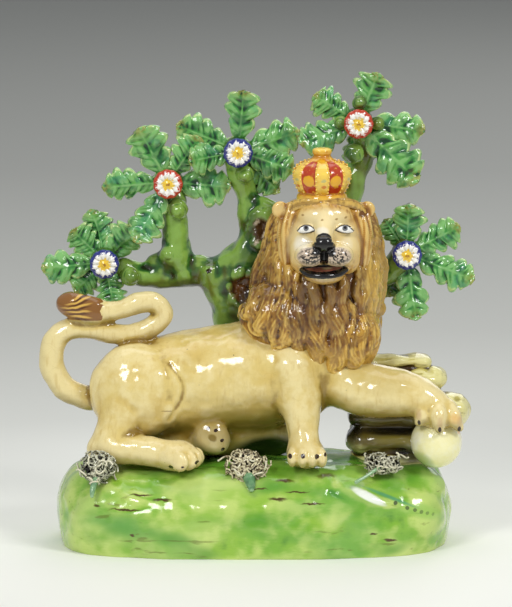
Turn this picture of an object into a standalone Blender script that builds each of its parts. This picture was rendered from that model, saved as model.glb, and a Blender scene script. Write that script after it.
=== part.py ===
# A crowned lion lying on a green mound before a flowering tree, one fired piece of
# lead-glazed earthenware. All sizes are millimetres until the mesh is made.
# The origin is the middle of the underside, +Z is up and the viewer's side is -Y.

import math
import random

import bmesh
import bpy
from mathutils import Matrix, Vector

MILLIMETRE = 0.001

# Driving sizes.
BASE_LENGTH = 135.0
BASE_DEPTH = 66.0
BASE_HEIGHT = 29.0
TREE_Y = 15.0
CLAY_TRIANGLES = 3350
CARVED_TRIANGLES = 2650
LEAFAGE_TRIANGLES = 2800

# A closed shell of less than this many cubic millimetres is a bubble, not a form.
SMALLEST_SHELL = 20.0

for old in list(bpy.data.objects):
    bpy.data.objects.remove(old, do_unlink=True)


# Shaping tools


def spline(stations, steps):
    """Points of a smooth line through the stations, each (x, y, z, radius)."""
    knots = [Vector(station) for station in stations]
    knots = [2 * knots[0] - knots[1]] + knots + [2 * knots[-1] - knots[-2]]
    line = []
    for first, start, end, last in zip(knots, knots[1:], knots[2:], knots[3:]):
        for step in range(steps):
            t = step / steps
            line.append(
                0.5
                * (
                    2 * start
                    + (end - first) * t
                    + (2 * first - 5 * start + 4 * end - last) * t * t
                    + (3 * start - first - 3 * end + last) * t * t * t
                )
            )
    line.append(knots[-2])
    return line


def skin(clay, rings):
    """Closes a stack of equal rings into one solid, with a point at each end."""
    rows = [[clay.verts.new(point) for point in ring] for ring in rings]
    sides = len(rows[0])
    for low, high in zip(rows, rows[1:]):
        for k in range(sides):
            n = (k + 1) % sides
            clay.faces.new((low[k], low[n], high[n], high[k]))
    for row, turned in ((rows[0], True), (rows[-1], False)):
        middle = clay.verts.new(sum((v.co for v in row), Vector()) / sides)
        for k in range(sides):
            n = (k + 1) % sides
            face = (row[n], row[k], middle) if turned else (row[k], row[n], middle)
            clay.faces.new(face)


def roll(clay, stations, broad=1.0, facing=(0, -1, 0), sides=14, steps=5):
    """A roll of clay with rounded ends. Broad widens it across the facing direction."""
    line = spline(stations, steps)
    rings = []
    count = len(line)
    for index, point in enumerate(line):
        ahead = line[min(index + 1, count - 1)].xyz
        behind = line[max(index - 1, 0)].xyz
        along = (ahead - behind).normalized()
        across = along.cross(Vector(facing)).normalized()
        out = across.cross(along)
        radius = point.w
        caps = [(0, 1)]
        if index == 0:
            caps = [(-0.92, 0.38), (-0.6, 0.8), (0, 1)]
        if index == count - 1:
            caps = [(0, 1), (0.6, 0.8), (0.92, 0.38)]
        for shift, shrink in caps:
            centre = point.xyz + along * radius * shift
            ring = []
            for side in range(sides):
                angle = 2 * math.pi * side / sides
                ring.append(
                    centre
                    + across * radius * shrink * broad * math.cos(angle)
                    + out * radius * shrink * math.sin(angle)
                )
            rings.append(ring)
    skin(clay, rings)


def lump(clay, centre, radii, turn=(0, 0, 0)):
    """An egg of clay. The turn is in degrees about X, Y and Z."""
    angles = [math.radians(angle) for angle in turn]
    turned = Matrix.LocRotScale(Vector(centre), None, None)
    for axis, angle in zip("XYZ", angles):
        turned = turned @ Matrix.Rotation(angle, 4, axis)
    placed = turned @ Matrix.Diagonal((*radii, 1))
    bmesh.ops.create_icosphere(clay, subdivisions=3, radius=1, matrix=placed)


# The mound


def mound_edge(angle, half_length, half_depth):
    """The rounded-oblong plan of the mound, with a slow wave in its edge."""
    power = 2 / 3.05
    across = math.copysign(abs(math.cos(angle)) ** power, math.cos(angle))
    deep = math.copysign(abs(math.sin(angle)) ** power, math.sin(angle))
    wave = 1 + 0.012 * math.sin(3 * angle + 0.6) + 0.008 * math.sin(7 * angle)
    return across * half_length * wave, deep * half_depth * wave


def make_mound(clay):
    """A smooth bank with an upright lower band, a lip, and a flat top for the lion."""
    length = BASE_LENGTH / 2
    depth = BASE_DEPTH / 2
    levels = [
        (-3.0, 0.94, 0.93),
        (0.0, 0.96, 0.955),
        (1.5, 0.98, 0.975),
        (4.0, 0.995, 0.99),
        (9.0, 1.0, 1.0),
        (14.0, 1.0, 0.995),
        (17.5, 0.985, 0.97),
        (20.0, 0.965, 0.92),
        (23.0, 0.94, 0.85),
        (26.0, 0.90, 0.77),
        (28.2, 0.84, 0.68),
        (BASE_HEIGHT, 0.74, 0.56),
        (BASE_HEIGHT + 0.6, 0.45, 0.35),
    ]
    rings = []
    for z, long_share, deep_share in levels:
        ring = []
        for step in range(72):
            angle = 2 * math.pi * step / 72
            x, y = mound_edge(angle, length * long_share, depth * deep_share)
            wander = min(max(z - 6, 0) / 15, 1)
            rise = z + 0.8 * math.sin(4 * angle + 1.0) * wander
            ring.append(Vector((x - 0.5, y, rise)))
        rings.append(ring)
    skin(clay, rings)
    lump(clay, (-51, 2, 19.8), (13, 21, 8.0), (0, 12, 0))
    lump(clay, (-38, -18, 13), (24, 11.5, 13))
    lump(clay, (14, -20.5, 12), (30, 11.5, 13))
    lump(clay, (50, -14, 12), (15.5, 13, 13))
    lump(clay, (56, -8, 19), (9.5, 12, 8.5))
    roll(
        clay,
        [
            (27, -24, 27, 3.6),
            (34, -27.5, 24, 3.2),
            (46, -27, 20, 3.0),
            (56, -22.5, 17.5, 3.0),
            (63, -13, 17, 2.6),
        ],
    )
    roll(
        clay,
        [
            (-49, -23, 22, 3.0),
            (-40, -26.5, 20, 3.0),
            (-30, -28, 18.5, 2.6),
            (-20, -28, 19, 2.0),
        ],
    )


# The lion's body


def make_paw(clay, centre, heading, size, drop=0.0):
    """A broad paw with four toes across its front."""
    forward = Vector(heading).normalized()
    side = forward.cross(Vector((0, 0, 1))).normalized()
    middle = Vector(centre)
    turn = math.degrees(math.atan2(forward.y, forward.x))
    lump(clay, middle, (size * 1.0, size * 0.95, size * 0.62), (0, 0, turn))
    for toe in range(4):
        place = (toe - 1.5) / 1.5
        spot = middle + side * place * size * 0.72
        spot += forward * size * (0.72 - 0.2 * place * place)
        spot.z -= size * (0.12 + drop)
        lump(clay, spot, (size * 0.5, size * 0.29, size * 0.44), (0, 0, turn))


def make_body(clay):
    """The long trunk, the rump, both haunches and both shoulders."""
    roll(
        clay,
        [
            (-39, 1, 53.5, 15.5),
            (-28, 0, 54.2, 17.2),
            (-12, 0, 56.4, 17.8),
            (3, -1, 58.5, 18.0),
            (17, -1, 61.0, 17.0),
        ],
        broad=1.03,
        sides=28,
        facing=(0, 0, 1),
    )
    lump(clay, (-39.5, -8.5, 53.5), (16.5, 10.5, 16.5), (0, 12, 0))
    lump(clay, (-32.0, -11.0, 49.5), (10.5, 8.0, 8.0), (0, 28, 0))
    lump(clay, (-40.0, 9.0, 51.0), (15.5, 9.0, 16.0))
    lump(clay, (-20.0, 3.0, 38.0), (32.0, 13.0, 9.0))
    lump(clay, (5.0, -2.0, 35.5), (9.5, 9.0, 8.0))
    lump(clay, (14.0, -9.0, 57.0), (12.0, 9.5, 15.0), (0, -8, 0))
    lump(clay, (24.0, 0.0, 66.0), (14.5, 13.0, 13.0))


def make_hind_legs(clay):
    """The near leg folded on the mound, the far foot showing its sole under the belly."""
    roll(
        clay,
        [
            (-44.0, -12.0, 47.0, 8.5),
            (-47.4, -14.0, 41.0, 6.4),
            (-49.4, -15.5, 36.5, 5.9),
        ],
    )
    lump(clay, (-51.8, -15.5, 34.6), (5.0, 4.8, 4.9))
    roll(
        clay,
        [
            (-50.0, -16.0, 34.8, 5.2),
            (-41.0, -18.0, 35.2, 4.9),
            (-33.0, -20.0, 34.4, 4.9),
            (-28.0, -21.5, 33.4, 5.0),
        ],
    )
    roll(
        clay,
        [
            (-34.0, 2.0, 36.0, 6.5),
            (-24.0, -3.0, 35.5, 5.5),
            (-15.5, -9.0, 36.8, 5.3),
        ],
    )
    lump(clay, (-14.0, -13.0, 38.0), (7.0, 3.6, 5.5), (0, 14, 0))
    lump(clay, (-46.0, 15.0, 35.0), (8.0, 5.5, 6.0))
    roll(clay, [(-46, 17, 33.5, 5.0), (-34, 19, 33, 4.6), (-24, 20, 32.5, 4.8)])


def make_forelegs(clay):
    """The near foreleg stands on the mound, the far one reaches over to the ball."""
    roll(
        clay,
        [
            (12.5, -12.0, 62.0, 9.5),
            (14.5, -15.0, 54.5, 8.2),
            (15.8, -17.5, 48.5, 6.6),
            (16.6, -20.0, 42.5, 5.0),
            (17.2, -22.0, 37.5, 4.8),
        ],
    )
    roll(
        clay,
        [
            (25.0, -6.0, 60.0, 9.8),
            (34.0, -10.0, 55.6, 9.2),
            (41.0, -12.0, 54.0, 9.2),
            (48.0, -13.0, 53.6, 8.4),
            (55.0, -14.0, 52.5, 7.2),
            (61.0, -16.5, 48.5, 6.0),
        ],
    )


def make_paws(clay):
    """The near hind paw, the near fore paw, and the far one over the ball."""
    make_paw(clay, (-26.5, -22.0, 33.2), (0.86, -0.5, 0), 6.6)
    make_paw(clay, (17.7, -22.5, 34.6), (0.05, -1, 0), 7.0)
    make_paw(clay, (62.3, -18.5, 46.6), (0.1, -1, 0), 7.0, drop=0.15)


def make_tail(clay):
    """A thick roll that doubles back over the rump and ends in a tuft."""
    roll(
        clay,
        [
            (-50.0, -2.0, 50.5, 4.6),
            (-58.0, -3.0, 50.6, 4.3),
            (-65.2, -4.0, 54.4, 4.2),
            (-69.0, -4.0, 61.3, 4.2),
            (-68.4, -4.0, 68.5, 4.1),
            (-64.0, -4.0, 73.5, 3.9),
            (-56.0, -4.0, 74.2, 3.7),
            (-48.5, -4.0, 72.6, 3.7),
            (-41.5, -3.5, 72.6, 3.6),
            (-35.2, -3.0, 74.6, 3.5),
            (-31.0, -3.0, 79.0, 3.6),
            (-33.6, -3.5, 83.0, 3.5),
            (-39.0, -4.0, 83.2, 3.6),
            (-45.0, -5.0, 81.0, 3.4),
            (-51.0, -5.5, 80.2, 3.6),
        ],
        sides=16,
    )
    for side in range(3):
        rise = (side - 1) * 2.3
        roll(
            clay,
            [
                (-49.5, -6.0, 80.3 + rise * 0.6, 2.6),
                (-55.0, -6.8 + abs(rise) * 0.4, 80.7 + rise, 3.2),
                (-61.0, -6.8 + abs(rise) * 0.4, 82.0 + rise, 3.1),
                (-65.6, -6.0, 83.2 + rise * 0.4, 1.8),
            ],
        )


# The mane

MANE_MIDDLE = Vector((23.0, -1.0, 90.0))

# The swelling masses that the hair lies on: a middle and a half size each.
MANE_SWELLS = [
    (Vector((23.0, -2.0, 90.0)), Vector((19.5, 14.0, 27.0))),
    (Vector((23.6, -1.0, 107.0)), Vector((18.5, 11.0, 12.5))),
    (Vector((11.0, -5.5, 77.0)), Vector((17.0, 13.5, 13.5))),
    (Vector((30.0, -6.0, 71.0)), Vector((14.5, 12.5, 13.0))),
    (Vector((24.0, -7.0, 78.0)), Vector((12.0, 12.0, 20.0))),
]

# Where a lock leaves the brow, the two places it swings past, and where it ends, as
# (X, Z), from the leftmost lock round under the chin to the rightmost.
LOCK_ROOTS = [(19, 119.5), (10.5, 110), (12.5, 98), (24, 93), (35.5, 98), (37.5, 110), (29, 119.5)]
LOCK_SWINGS = [(-1, 117), (4, 104), (9, 92), (22, 84), (39, 90), (44, 104), (47, 117.5)]
LOCK_FALLS = [(6, 92), (7, 86), (13, 78), (24, 72), (35, 78), (42, 88), (44.5, 95)]
LOCK_ENDS = [(-6, 78.5), (2.5, 69), (15, 63.5), (27, 60), (37, 63.5), (43, 70), (45.5, 85)]


def along_list(places, share):
    """The place at a share of the way along a list of (X, Z) places, run smoothly."""
    line = spline([(x, 0, z, 0) for x, z in places], 8)
    spot = min(share, 0.9999) * (len(line) - 1)
    low = int(spot)
    return line[low].lerp(line[low + 1], spot - low)


def mane_depth(x, z):
    """How far forward the swells reach at a place on the mane."""
    deepest = 1.0
    for middle, half in MANE_SWELLS:
        inside = 1 - ((x - middle.x) / half.x) ** 2 - ((z - middle.z) / half.z) ** 2
        if inside > 0:
            deepest = max(deepest, half.y * math.sqrt(inside) - middle.y + MANE_MIDDLE.y)
    return deepest


def make_mane(mane, columns, rows, groove):
    """Long locks that leave the brow and hang to the chest, over a plainer back."""
    grid = []
    for column in range(columns + 1):
        across = column / columns
        ridge = 1 if column % 2 else -1
        root = along_list(LOCK_ROOTS, across)
        swing = along_list(LOCK_SWINGS, across)
        fall = along_list(LOCK_FALLS, across)
        end = along_list(LOCK_ENDS, across)
        outward = (end - MANE_MIDDLE.to_4d()).xyz.normalized()
        line = []
        for row in range(rows + 1):
            t = row / rows
            early = root.lerp(swing, t).lerp(swing.lerp(fall, t), t)
            late = swing.lerp(fall, t).lerp(fall.lerp(end, t), t)
            spot = early.lerp(late, t)
            calm = min(1, 3 * t) * (1 - abs(2 * across - 1) ** 3)
            snake = math.sin(2 * math.pi * (1.4 * t + 2.6 * across)) * calm
            x = spot.x + snake + (ridge * outward.x if row == rows else 0)
            z = spot.z + (ridge * 1.2 * outward.z if row == rows else 0)
            depth = mane_depth(x, z)
            slope_x = mane_depth(x + 0.5, z) - mane_depth(x - 0.5, z)
            slope_z = mane_depth(x, z + 0.5) - mane_depth(x, z - 0.5)
            out = Vector((-slope_x, -1.0, -slope_z)).normalized()
            lift = groove * ridge * (1.0 if row < rows else 0.3)
            line.append(Vector((x, MANE_MIDDLE.y - depth, z)) + out * lift)
        grid.append(line)
    verts = [[mane.verts.new(point) for point in line] for line in grid]
    for left, right in zip(verts, verts[1:]):
        for row in range(rows):
            mane.faces.new((left[row], left[row + 1], right[row + 1], right[row]))
    under_face = mane.verts.new((24, -11, 106))
    roots = [line[0] for line in verts]
    for k in range(columns):
        mane.faces.new((roots[k], roots[k + 1], under_face))
    mane.faces.new((roots[-1], roots[0], under_face))
    rim = verts[0][::-1] + verts[-1] + [line[-1] for line in verts[-2:0:-1]]
    middle = Vector((22, 0, 92))
    count = len(rim)
    outer = rim
    for share, depth in ((1.0, 3.5), (0.9, 6.5), (0.6, 10.5)):
        inner = []
        for k, point in enumerate(rim):
            reach = share * (1 - 0.05 * (k % 2) * (share < 1))
            spot = middle.lerp(point.co, reach)
            inner.append(mane.verts.new((spot.x, max(point.co.y + 3, MANE_MIDDLE.y + depth), spot.z)))
        for k in range(count):
            n = (k + 1) % count
            mane.faces.new((outer[k], outer[n], inner[n], inner[k]))
        outer = inner
    nape = mane.verts.new((22, MANE_MIDDLE.y + 12, 92))
    for k in range(count):
        mane.faces.new((outer[k], outer[(k + 1) % count], nape))


# The head


def make_face(clay):
    """Broad and upturned, with a heavy muzzle and the mouth a little open."""
    lump(clay, (24.0, -11.5, 106.5), (12.3, 11.3, 12.6))
    for side in (-1, 1):
        lump(clay, (24.0 + side * 6.8, -17.0, 113.4), (5.0, 3.0, 2.2), (0, side * 8, 0))
        lump(clay, (24.0 + side * 6.6, -19.3, 109.8), (3.4, 2.4, 2.2))
        lump(clay, (24.0 + side * 7.2, -16.4, 102.0), (5.4, 5.6, 7.4))
        lump(clay, (23.7 + side * 4.6, -22.6, 102.6), (5.0, 5.4, 4.1), (0, side * 8, 0))
        lump(clay, (23.4 + side * 13.2, -8.0, 115.5), (3.0, 2.4, 3.6), (0, side * 25, 0))
    roll(
        clay,
        [
            (24.0, -17.2, 115.5, 3.2),
            (23.9, -20.6, 111.5, 3.0),
            (23.8, -24.6, 107.8, 3.0),
        ],
    )
    lump(clay, (23.7, -26.2, 106.4), (3.3, 2.6, 2.4))
    lump(clay, (23.8, -18.5, 96.0), (7.8, 6.8, 3.2))


def make_crown(clay):
    """A cap of six raised ribs between sunken panels, on a band, with a knob on top."""
    profile = [
        (116.5, 7.6, 0.0),
        (118.6, 8.6, 0.0),
        (120.9, 8.4, 0.0),
        (121.8, 8.2, 0.03),
        (125.0, 9.8, 0.09),
        (128.6, 10.1, 0.09),
        (131.6, 8.2, 0.09),
        (133.2, 3.4, 0.0),
        (134.8, 3.3, 0.0),
        (136.6, 2.2, 0.0),
    ]
    ribs = 6
    steps = 8
    rings = []
    for z, radius, sinking in profile:
        ring = []
        for k in range(ribs * steps):
            angle = 2 * math.pi * k / (ribs * steps) - math.pi / 2
            in_panel = k % steps in (3, 4, 5)
            reach = radius * (1 - sinking * in_panel)
            ring.append(Vector((23 + reach * math.cos(angle), -7 + reach * math.sin(angle), z)))
        rings.append(ring)
    skin(clay, rings)


# The tree


def make_trunk(clay):
    """The stem behind the lion, its three boughs, and the stubs of cut branches."""
    y = TREE_Y
    roll(
        clay,
        [
            (-5.0, y + 1, 24.0, 8.5),
            (-5.5, y + 1, 45.0, 7.2),
            (-6.4, y + 1, 65.0, 6.2),
            (-8.8, y + 1, 78.0, 5.8),
            (-11.4, y + 1, 85.0, 5.8),
            (-13.5, y, 90.0, 5.4),
        ],
    )
    roll(
        clay,
        [
            (-12.5, y, 90.0, 5.0),
            (-20.0, y + 1, 90.2, 3.9),
            (-28.0, y + 1, 89.6, 4.2),
            (-37.0, y, 89.8, 3.8),
            (-45.5, y, 92.0, 3.8),
        ],
    )
    roll(
        clay,
        [
            (-27.5, y, 90.5, 5.2),
            (-26.6, y, 97.0, 5.2),
            (-27.0, y, 106.0, 4.3),
            (-27.3, y, 114.0, 4.2),
            (-29.0, y, 120.0, 4.2),
        ],
    )
    roll(
        clay,
        [
            (-13.5, y, 90.0, 5.0),
            (-6.5, y, 93.5, 5.0),
            (-1.0, y, 100.0, 4.6),
            (-0.5, y, 108.0, 4.0),
            (-2.6, y, 118.0, 3.7),
            (-5.4, y, 126.0, 4.6),
            (-5.6, y, 132.0, 4.6),
        ],
    )
    lump(clay, (0.0, y - 3.5, 96.8), (5.4, 4.6, 5.4))
    lump(clay, (-29.0, y - 4.0, 96.5), (2.8, 2.4, 2.8))
    lump(clay, (-15.0, y - 4.4, 91.2), (2.2, 1.8, 2.2))
    lump(clay, (3.4, y - 1.0, 108.0), (4.8, 4.6, 6.0))
    roll(
        clay,
        [
            (-9.5, y, 84.0, 5.0),
            (-3.0, y - 2, 84.0, 5.4),
            (2.0, y - 3, 81.0, 5.0),
        ],
    )
    roll(
        clay,
        [
            (-8.0, y + 1, 74.0, 5.5),
            (8.0, y - 1, 90.0, 5.5),
            (22.0, y - 2, 104.0, 5.0),
            (32.0, y - 1, 115.0, 4.0),
            (34.8, y, 124.0, 3.2),
            (38.5, y, 131.5, 3.2),
            (37.0, y - 1, 140.0, 4.0),
        ],
    )
    roll(
        clay,
        [
            (18.0, y - 3, 92.0, 5.0),
            (34.0, y - 3, 90.0, 4.6),
            (45.0, y - 3, 90.5, 4.2),
            (51.0, y - 4, 96.5, 4.2),
        ],
    )
    roll(clay, [(1.0, y, 114.0, 3.8), (7.0, y - 2, 112.0, 4.6), (16, y - 4, 108, 4.6)])


def make_bud(clay, centre, radius, heading):
    """An acorn: a round nut in a cup, pointing away from its twig."""
    forward = Vector(heading).normalized()
    middle = Vector(centre)
    tip = middle + forward * radius * 0.9
    back = middle - forward * radius * 1.1
    roll(
        clay,
        [(*back, radius * 0.7), (*middle, radius), (*tip, radius * 0.45)],
        sides=12,
        steps=3,
    )


# Each bloom: its centre, and the leaves round it as (angle, length, width, lean towards
# the viewer). Angles are in degrees, 0 to the right and 90 up.
BLOOMS = [
    (
        (-51.1, 7.0, 95.0),
        [
            (186, 21.5, 12.5, 0.05),
            (135, 15.5, 12.5, 0.0),
            (101, 18.0, 12.0, -0.35),
            (48, 15.5, 15.0, 0.0),
            (281, 14.5, 11.5, 0.1),
            (224, 14.0, 12.0, 0.0),
        ],
    ),
    (
        (-29.3, 7.0, 122.6),
        [
            (118, 21.0, 15.5, 0.0),
            (184, 22.5, 12.0, 0.05),
            (242, 23.0, 13.0, 0.1),
            (354, 21.0, 14.5, -0.1),
            (56, 18.5, 13.0, -0.05),
        ],
    ),
    (
        (-5.4, 7.0, 133.3),
        [
            (84, 21.0, 13.5, 0.0),
            (157, 22.5, 13.0, -0.05),
            (192, 17.0, 12.0, 0.0),
            (17, 21.5, 14.0, 0.0),
            (341, 20.0, 13.5, 0.0),
            (312, 20.0, 11.0, -0.3),
        ],
    ),
    (
        (35.6, 7.0, 143.2),
        [
            (68, 17.9, 14.5, 0.0),
            (149, 17.5, 12.0, 0.0),
            (201, 21.0, 13.5, 0.0),
            (352, 22.5, 12.5, 0.0),
            (315.5, 28.5, 17.0, 0.1),
            (271, 17.0, 12.0, -0.3),
        ],
    ),
    (
        (52.3, 5.0, 98.4),
        [
            (87, 16.5, 12.5, 0.0),
            (26, 20.0, 12.5, 0.0),
            (337, 24.5, 12.5, 0.0),
            (277, 23.0, 13.5, 0.1),
            (246, 17.0, 11.0, -0.3),
            (124, 13.0, 10.0, -0.3),
        ],
    ),
]

LEAF_LOBES = 4
LEAF_THICKNESS = 2.6


def leaf_half_width(t, notch):
    """Half the leaf's width at t of its length, as a share, in a notch or on a lobe."""
    swell = math.sin(math.pi * min(t * 0.92 + 0.06, 1.0)) ** 0.55
    return swell * (0.52 if notch else 1.0)


def make_leaf(clay, root, angle, length, width, lean):
    """An oak leaf pressed in a mould: lobed edge, raised midrib, tip curling forward."""
    along = Vector((math.cos(math.radians(angle)), -lean, math.sin(math.radians(angle))))
    along.normalize()
    out = (Vector((0, -1, 0)) - along * along.dot(Vector((0, -1, 0)))).normalized()
    across = along.cross(out)
    edge = [(0.0, 0.16)]
    for lobe in range(LEAF_LOBES):
        start = 0.10 + 0.82 * lobe / LEAF_LOBES
        span = 0.82 / LEAF_LOBES
        if lobe:
            edge.append((start, leaf_half_width(start, True)))
        edge.append((start + span * 0.42, leaf_half_width(start + span * 0.42, False)))
        edge.append((start + span * 0.80, leaf_half_width(start + span * 0.80, False)))
    outline = [(t, w) for t, w in edge] + [(1.0, 0.0)] + [(t, -w) for t, w in edge[::-1]]

    def place(t, w, height):
        arch = -0.10 * width * w * w + 0.10 * length * t * t
        bend = out * (arch + height)
        return root + along * length * t + across * (width / 2) * w + bend

    front = [clay.verts.new(place(t, w, 0.0)) for t, w in outline]
    back = [clay.verts.new(place(t, w * 0.9, -LEAF_THICKNESS)) for t, w in outline]
    spine = [clay.verts.new(place(t, 0, 0.9)) for t, _ in edge[1:]]
    count = len(outline)
    half = len(edge)
    for k in range(count):
        n = (k + 1) % count
        clay.faces.new((front[n], front[k], back[k], back[n]))
    for side, turned in ((front[:half], False), (front[:half:-1], True)):
        faces = [(side[0], side[1], spine[0]), (side[-1], front[half], spine[-1])]
        for k in range(len(spine) - 1):
            faces.append((side[k + 1], side[k + 2], spine[k + 1]))
            faces.append((side[k + 1], spine[k + 1], spine[k]))
        for face in faces:
            clay.faces.new(face[::-1] if turned else face)
    clay.faces.new((front[0], spine[0], front[-1]))
    for k in range(half - 1):
        clay.faces.new((back[k + 1], back[k], back[-1 - k], back[-2 - k]))
    clay.faces.new((back[half], back[half - 1], back[half + 1]))


def make_flower(clay, centre, radius):
    """A thick button with eight ruffled petals round a domed eye, facing the viewer."""
    rings = []
    profile = [(4.0, 0.7, 0.0), (-1.0, 1.0, 0.1), (-2.5, 0.66, 0.0), (-3.2, 0.28, 0.0)]
    for shift, share, ruffle in profile:
        ring = []
        for k in range(16):
            angle = -2 * math.pi * k / 16
            reach = radius * share * (1 - ruffle * (k % 2))
            ring.append(
                Vector(centre)
                + Vector((reach * math.cos(angle), shift, reach * math.sin(angle)))
            )
        rings.append(ring)
    skin(clay, rings[::-1])


def make_blooms(clay):
    """Five flowers, each on a pad of clay in a ring of leaves."""
    for centre, leaves in BLOOMS:
        x, y, z = centre
        lump(clay, (x, y + 5.0, z), (5.2, 6.0, 5.2))
        make_flower(clay, centre, 4.8)
        for order, (angle, length, width, lean) in enumerate(leaves):
            depth = y + 3.6 + 1.3 * (order % 2)
            root = Vector((x, depth, z)) + 1.5 * Vector(
                (math.cos(math.radians(angle)), 0, math.sin(math.radians(angle)))
            )
            make_leaf(clay, root, angle, length - 1.5, width, lean)


def make_buds(clay):
    make_bud(clay, (-42.4, 9.5, 90.2), 3.4, (0.3, -1, 0.1))
    make_bud(clay, (-26.0, 9.5, 113.2), 3.5, (0.1, -1, -0.3))
    make_bud(clay, (-3.0, 9.5, 125.2), 3.1, (0.2, -1, -0.2))
    make_bud(clay, (34.0, 9.0, 132.3), 3.4, (-0.2, -1, -0.3))
    lump(clay, (36.0, 7.5, 150.2), (2.6, 3.6, 2.6))
    lump(clay, (42.2, 8.0, 143.0), (2.6, 4.0, 2.4))
    lump(clay, (29.5, 8.5, 143.0), (2.6, 4.0, 2.6))


# Ball, logs and moss


def make_ball(clay):
    """The ball under the raised paw, at the right front edge of the mound."""
    lump(clay, (62.0, -12.0, 36.6), (8.8, 8.8, 8.9))


def make_log(clay, left, right, y, z, high, deep):
    stations = []
    for t in (0.0, 0.5, 1.0):
        stations.append((left + (right - left) * t, y, z, high))
    roll(clay, stations, broad=deep / high, facing=(0, 0, 1), sides=18, steps=2)


def make_logs(clay):
    """Rough logs stacked behind the reaching leg, five before and three behind."""
    make_log(clay, 40.0, 58.5, 5.0, 61.6, 2.3, 5.5)
    make_log(clay, 38.0, 62.0, 3.5, 55.8, 4.2, 7.5)
    make_log(clay, 38.0, 68.0, 2.5, 45.2, 6.1, 9.5)
    make_log(clay, 35.0, 54.0, -2.0, 43.6, 3.0, 6.5)
    make_log(clay, 36.5, 56.0, -1.0, 35.8, 5.2, 9.0)
    make_log(clay, 38.0, 60.0, 11.0, 36.5, 5.4, 7.5)
    make_log(clay, 40.0, 62.0, 9.5, 46.0, 5.2, 6.5)
    make_log(clay, 42.0, 58.0, 8.0, 54.5, 4.4, 6.0)
    lump(clay, (48.0, 4.0, 44.0), (11.0, 7.0, 16.0))
    lump(clay, (48.0, 2.0, 29.0), (15.0, 12.0, 6.0))


def make_moss(clay, centre, width, height, count, seed):
    """A clump of sieved clay, as a heap of knobs on the slope."""
    strands = random.Random(seed)
    x, y, z = centre
    lump(clay, (x, y + 1.5, z), (width * 0.42, 3.6, height * 0.42))
    for _ in range(count):
        angle = strands.uniform(0, 2 * math.pi)
        reach = strands.uniform(0.25, 1.0)
        spot = (
            x + 0.44 * width * reach * math.cos(angle),
            y - 2.2 + 2.6 * reach * reach,
            z + 0.44 * height * reach * math.sin(angle),
        )
        knob = strands.uniform(1.1, 1.7)
        lump(clay, spot, (knob, knob, knob))


def make_mosses(clay):
    make_moss(clay, (-53.0, -22.0, 29.5), 11.5, 13.0, 16, 1)
    make_moss(clay, (-2.5, -24.5, 30.5), 15.5, 14.5, 22, 2)
    make_moss(clay, (43.5, -22.0, 31.0), 13.5, 8.5, 16, 3)
    roll(clay, [(38.0, -24.5, 29.5, 1.3), (34.0, -26.0, 27.4, 1.3), (31.5, -27, 25.6, 1.2)])


# Putting it together


def glaze(name, colour):
    """A glossy lead glaze."""
    material = bpy.data.materials.new(name)
    material.use_nodes = True
    shader = material.node_tree.nodes["Principled BSDF"]
    shader.inputs["Base Color"].default_value = (*colour, 1)
    shader.inputs["Roughness"].default_value = 0.18
    shader.inputs["Metallic"].default_value = 0.0
    return material


def to_object(name, mesh_data, material):
    """Turns a pile of shapes into an object in metres."""
    bmesh.ops.scale(mesh_data, vec=(MILLIMETRE,) * 3, verts=mesh_data.verts)
    mesh = bpy.data.meshes.new(name)
    mesh_data.to_mesh(mesh)
    mesh_data.free()
    mesh.materials.append(material)
    for polygon in mesh.polygons:
        polygon.use_smooth = True
    thing = bpy.data.objects.new(name, mesh)
    bpy.context.scene.collection.objects.link(thing)
    return thing


def settle(thing):
    """Makes the modifiers' result the piece's own mesh, with no bubbles left inside it."""
    graph = bpy.context.evaluated_depsgraph_get()
    mesh = bpy.data.meshes.new_from_object(thing.evaluated_get(graph))
    thing.modifiers.clear()
    thing.data = mesh
    shape = bmesh.new()
    shape.from_mesh(mesh)
    unseen = set(shape.verts)
    while unseen:
        shell = {unseen.pop()}
        border = list(shell)
        while border:
            vert = border.pop()
            for edge in vert.link_edges:
                other = edge.other_vert(vert)
                if other in unseen:
                    unseen.remove(other)
                    shell.add(other)
                    border.append(other)
        volume = 0.0
        for face in {face for vert in shell for face in vert.link_faces}:
            corners = [loop.vert.co for loop in face.loops]
            for k in range(1, len(corners) - 1):
                volume += corners[0].dot(corners[k].cross(corners[k + 1])) / 6
        if volume < SMALLEST_SHELL * MILLIMETRE**3:
            bmesh.ops.delete(shape, geom=list(shell), context="VERTS")
    shape.to_mesh(mesh)
    shape.free()


def fuse(thing, grain, triangles):
    """Fuses overlapping lumps and rolls into one skin of about so many triangles."""
    join = thing.modifiers.new("fuse the clay", "REMESH")
    join.mode = "VOXEL"
    join.voxel_size = grain * MILLIMETRE
    join.use_smooth_shade = True
    soften = thing.modifiers.new("soften", "SMOOTH")
    soften.factor = 0.5
    soften.iterations = 2
    settle(thing)
    thin = thing.modifiers.new("thin", "DECIMATE")
    thin.ratio = triangles / (2 * len(thing.data.polygons))
    thin.use_collapse_triangulate = True


def lute(thing, helper, operation):
    """Joins a hidden helper to the piece, or cuts the piece with it."""
    helper.hide_render = True
    helper.display_type = "WIRE"
    joint = thing.modifiers.new(helper.name, "BOOLEAN")
    joint.operation = operation
    joint.solver = "EXACT"
    joint.object = helper


buff = glaze("glaze", (0.62, 0.5, 0.22))

clay = bmesh.new()
make_mound(clay)
make_body(clay)
make_hind_legs(clay)
make_forelegs(clay)
make_tail(clay)
make_trunk(clay)
make_ball(clay)
make_logs(clay)

carved = bmesh.new()
make_face(carved)
make_mane(carved, columns=40, rows=8, groove=0.9)
make_paws(carved)
make_mosses(carved)

leafage = bmesh.new()
make_blooms(leafage)
make_buds(leafage)
make_crown(leafage)

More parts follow.
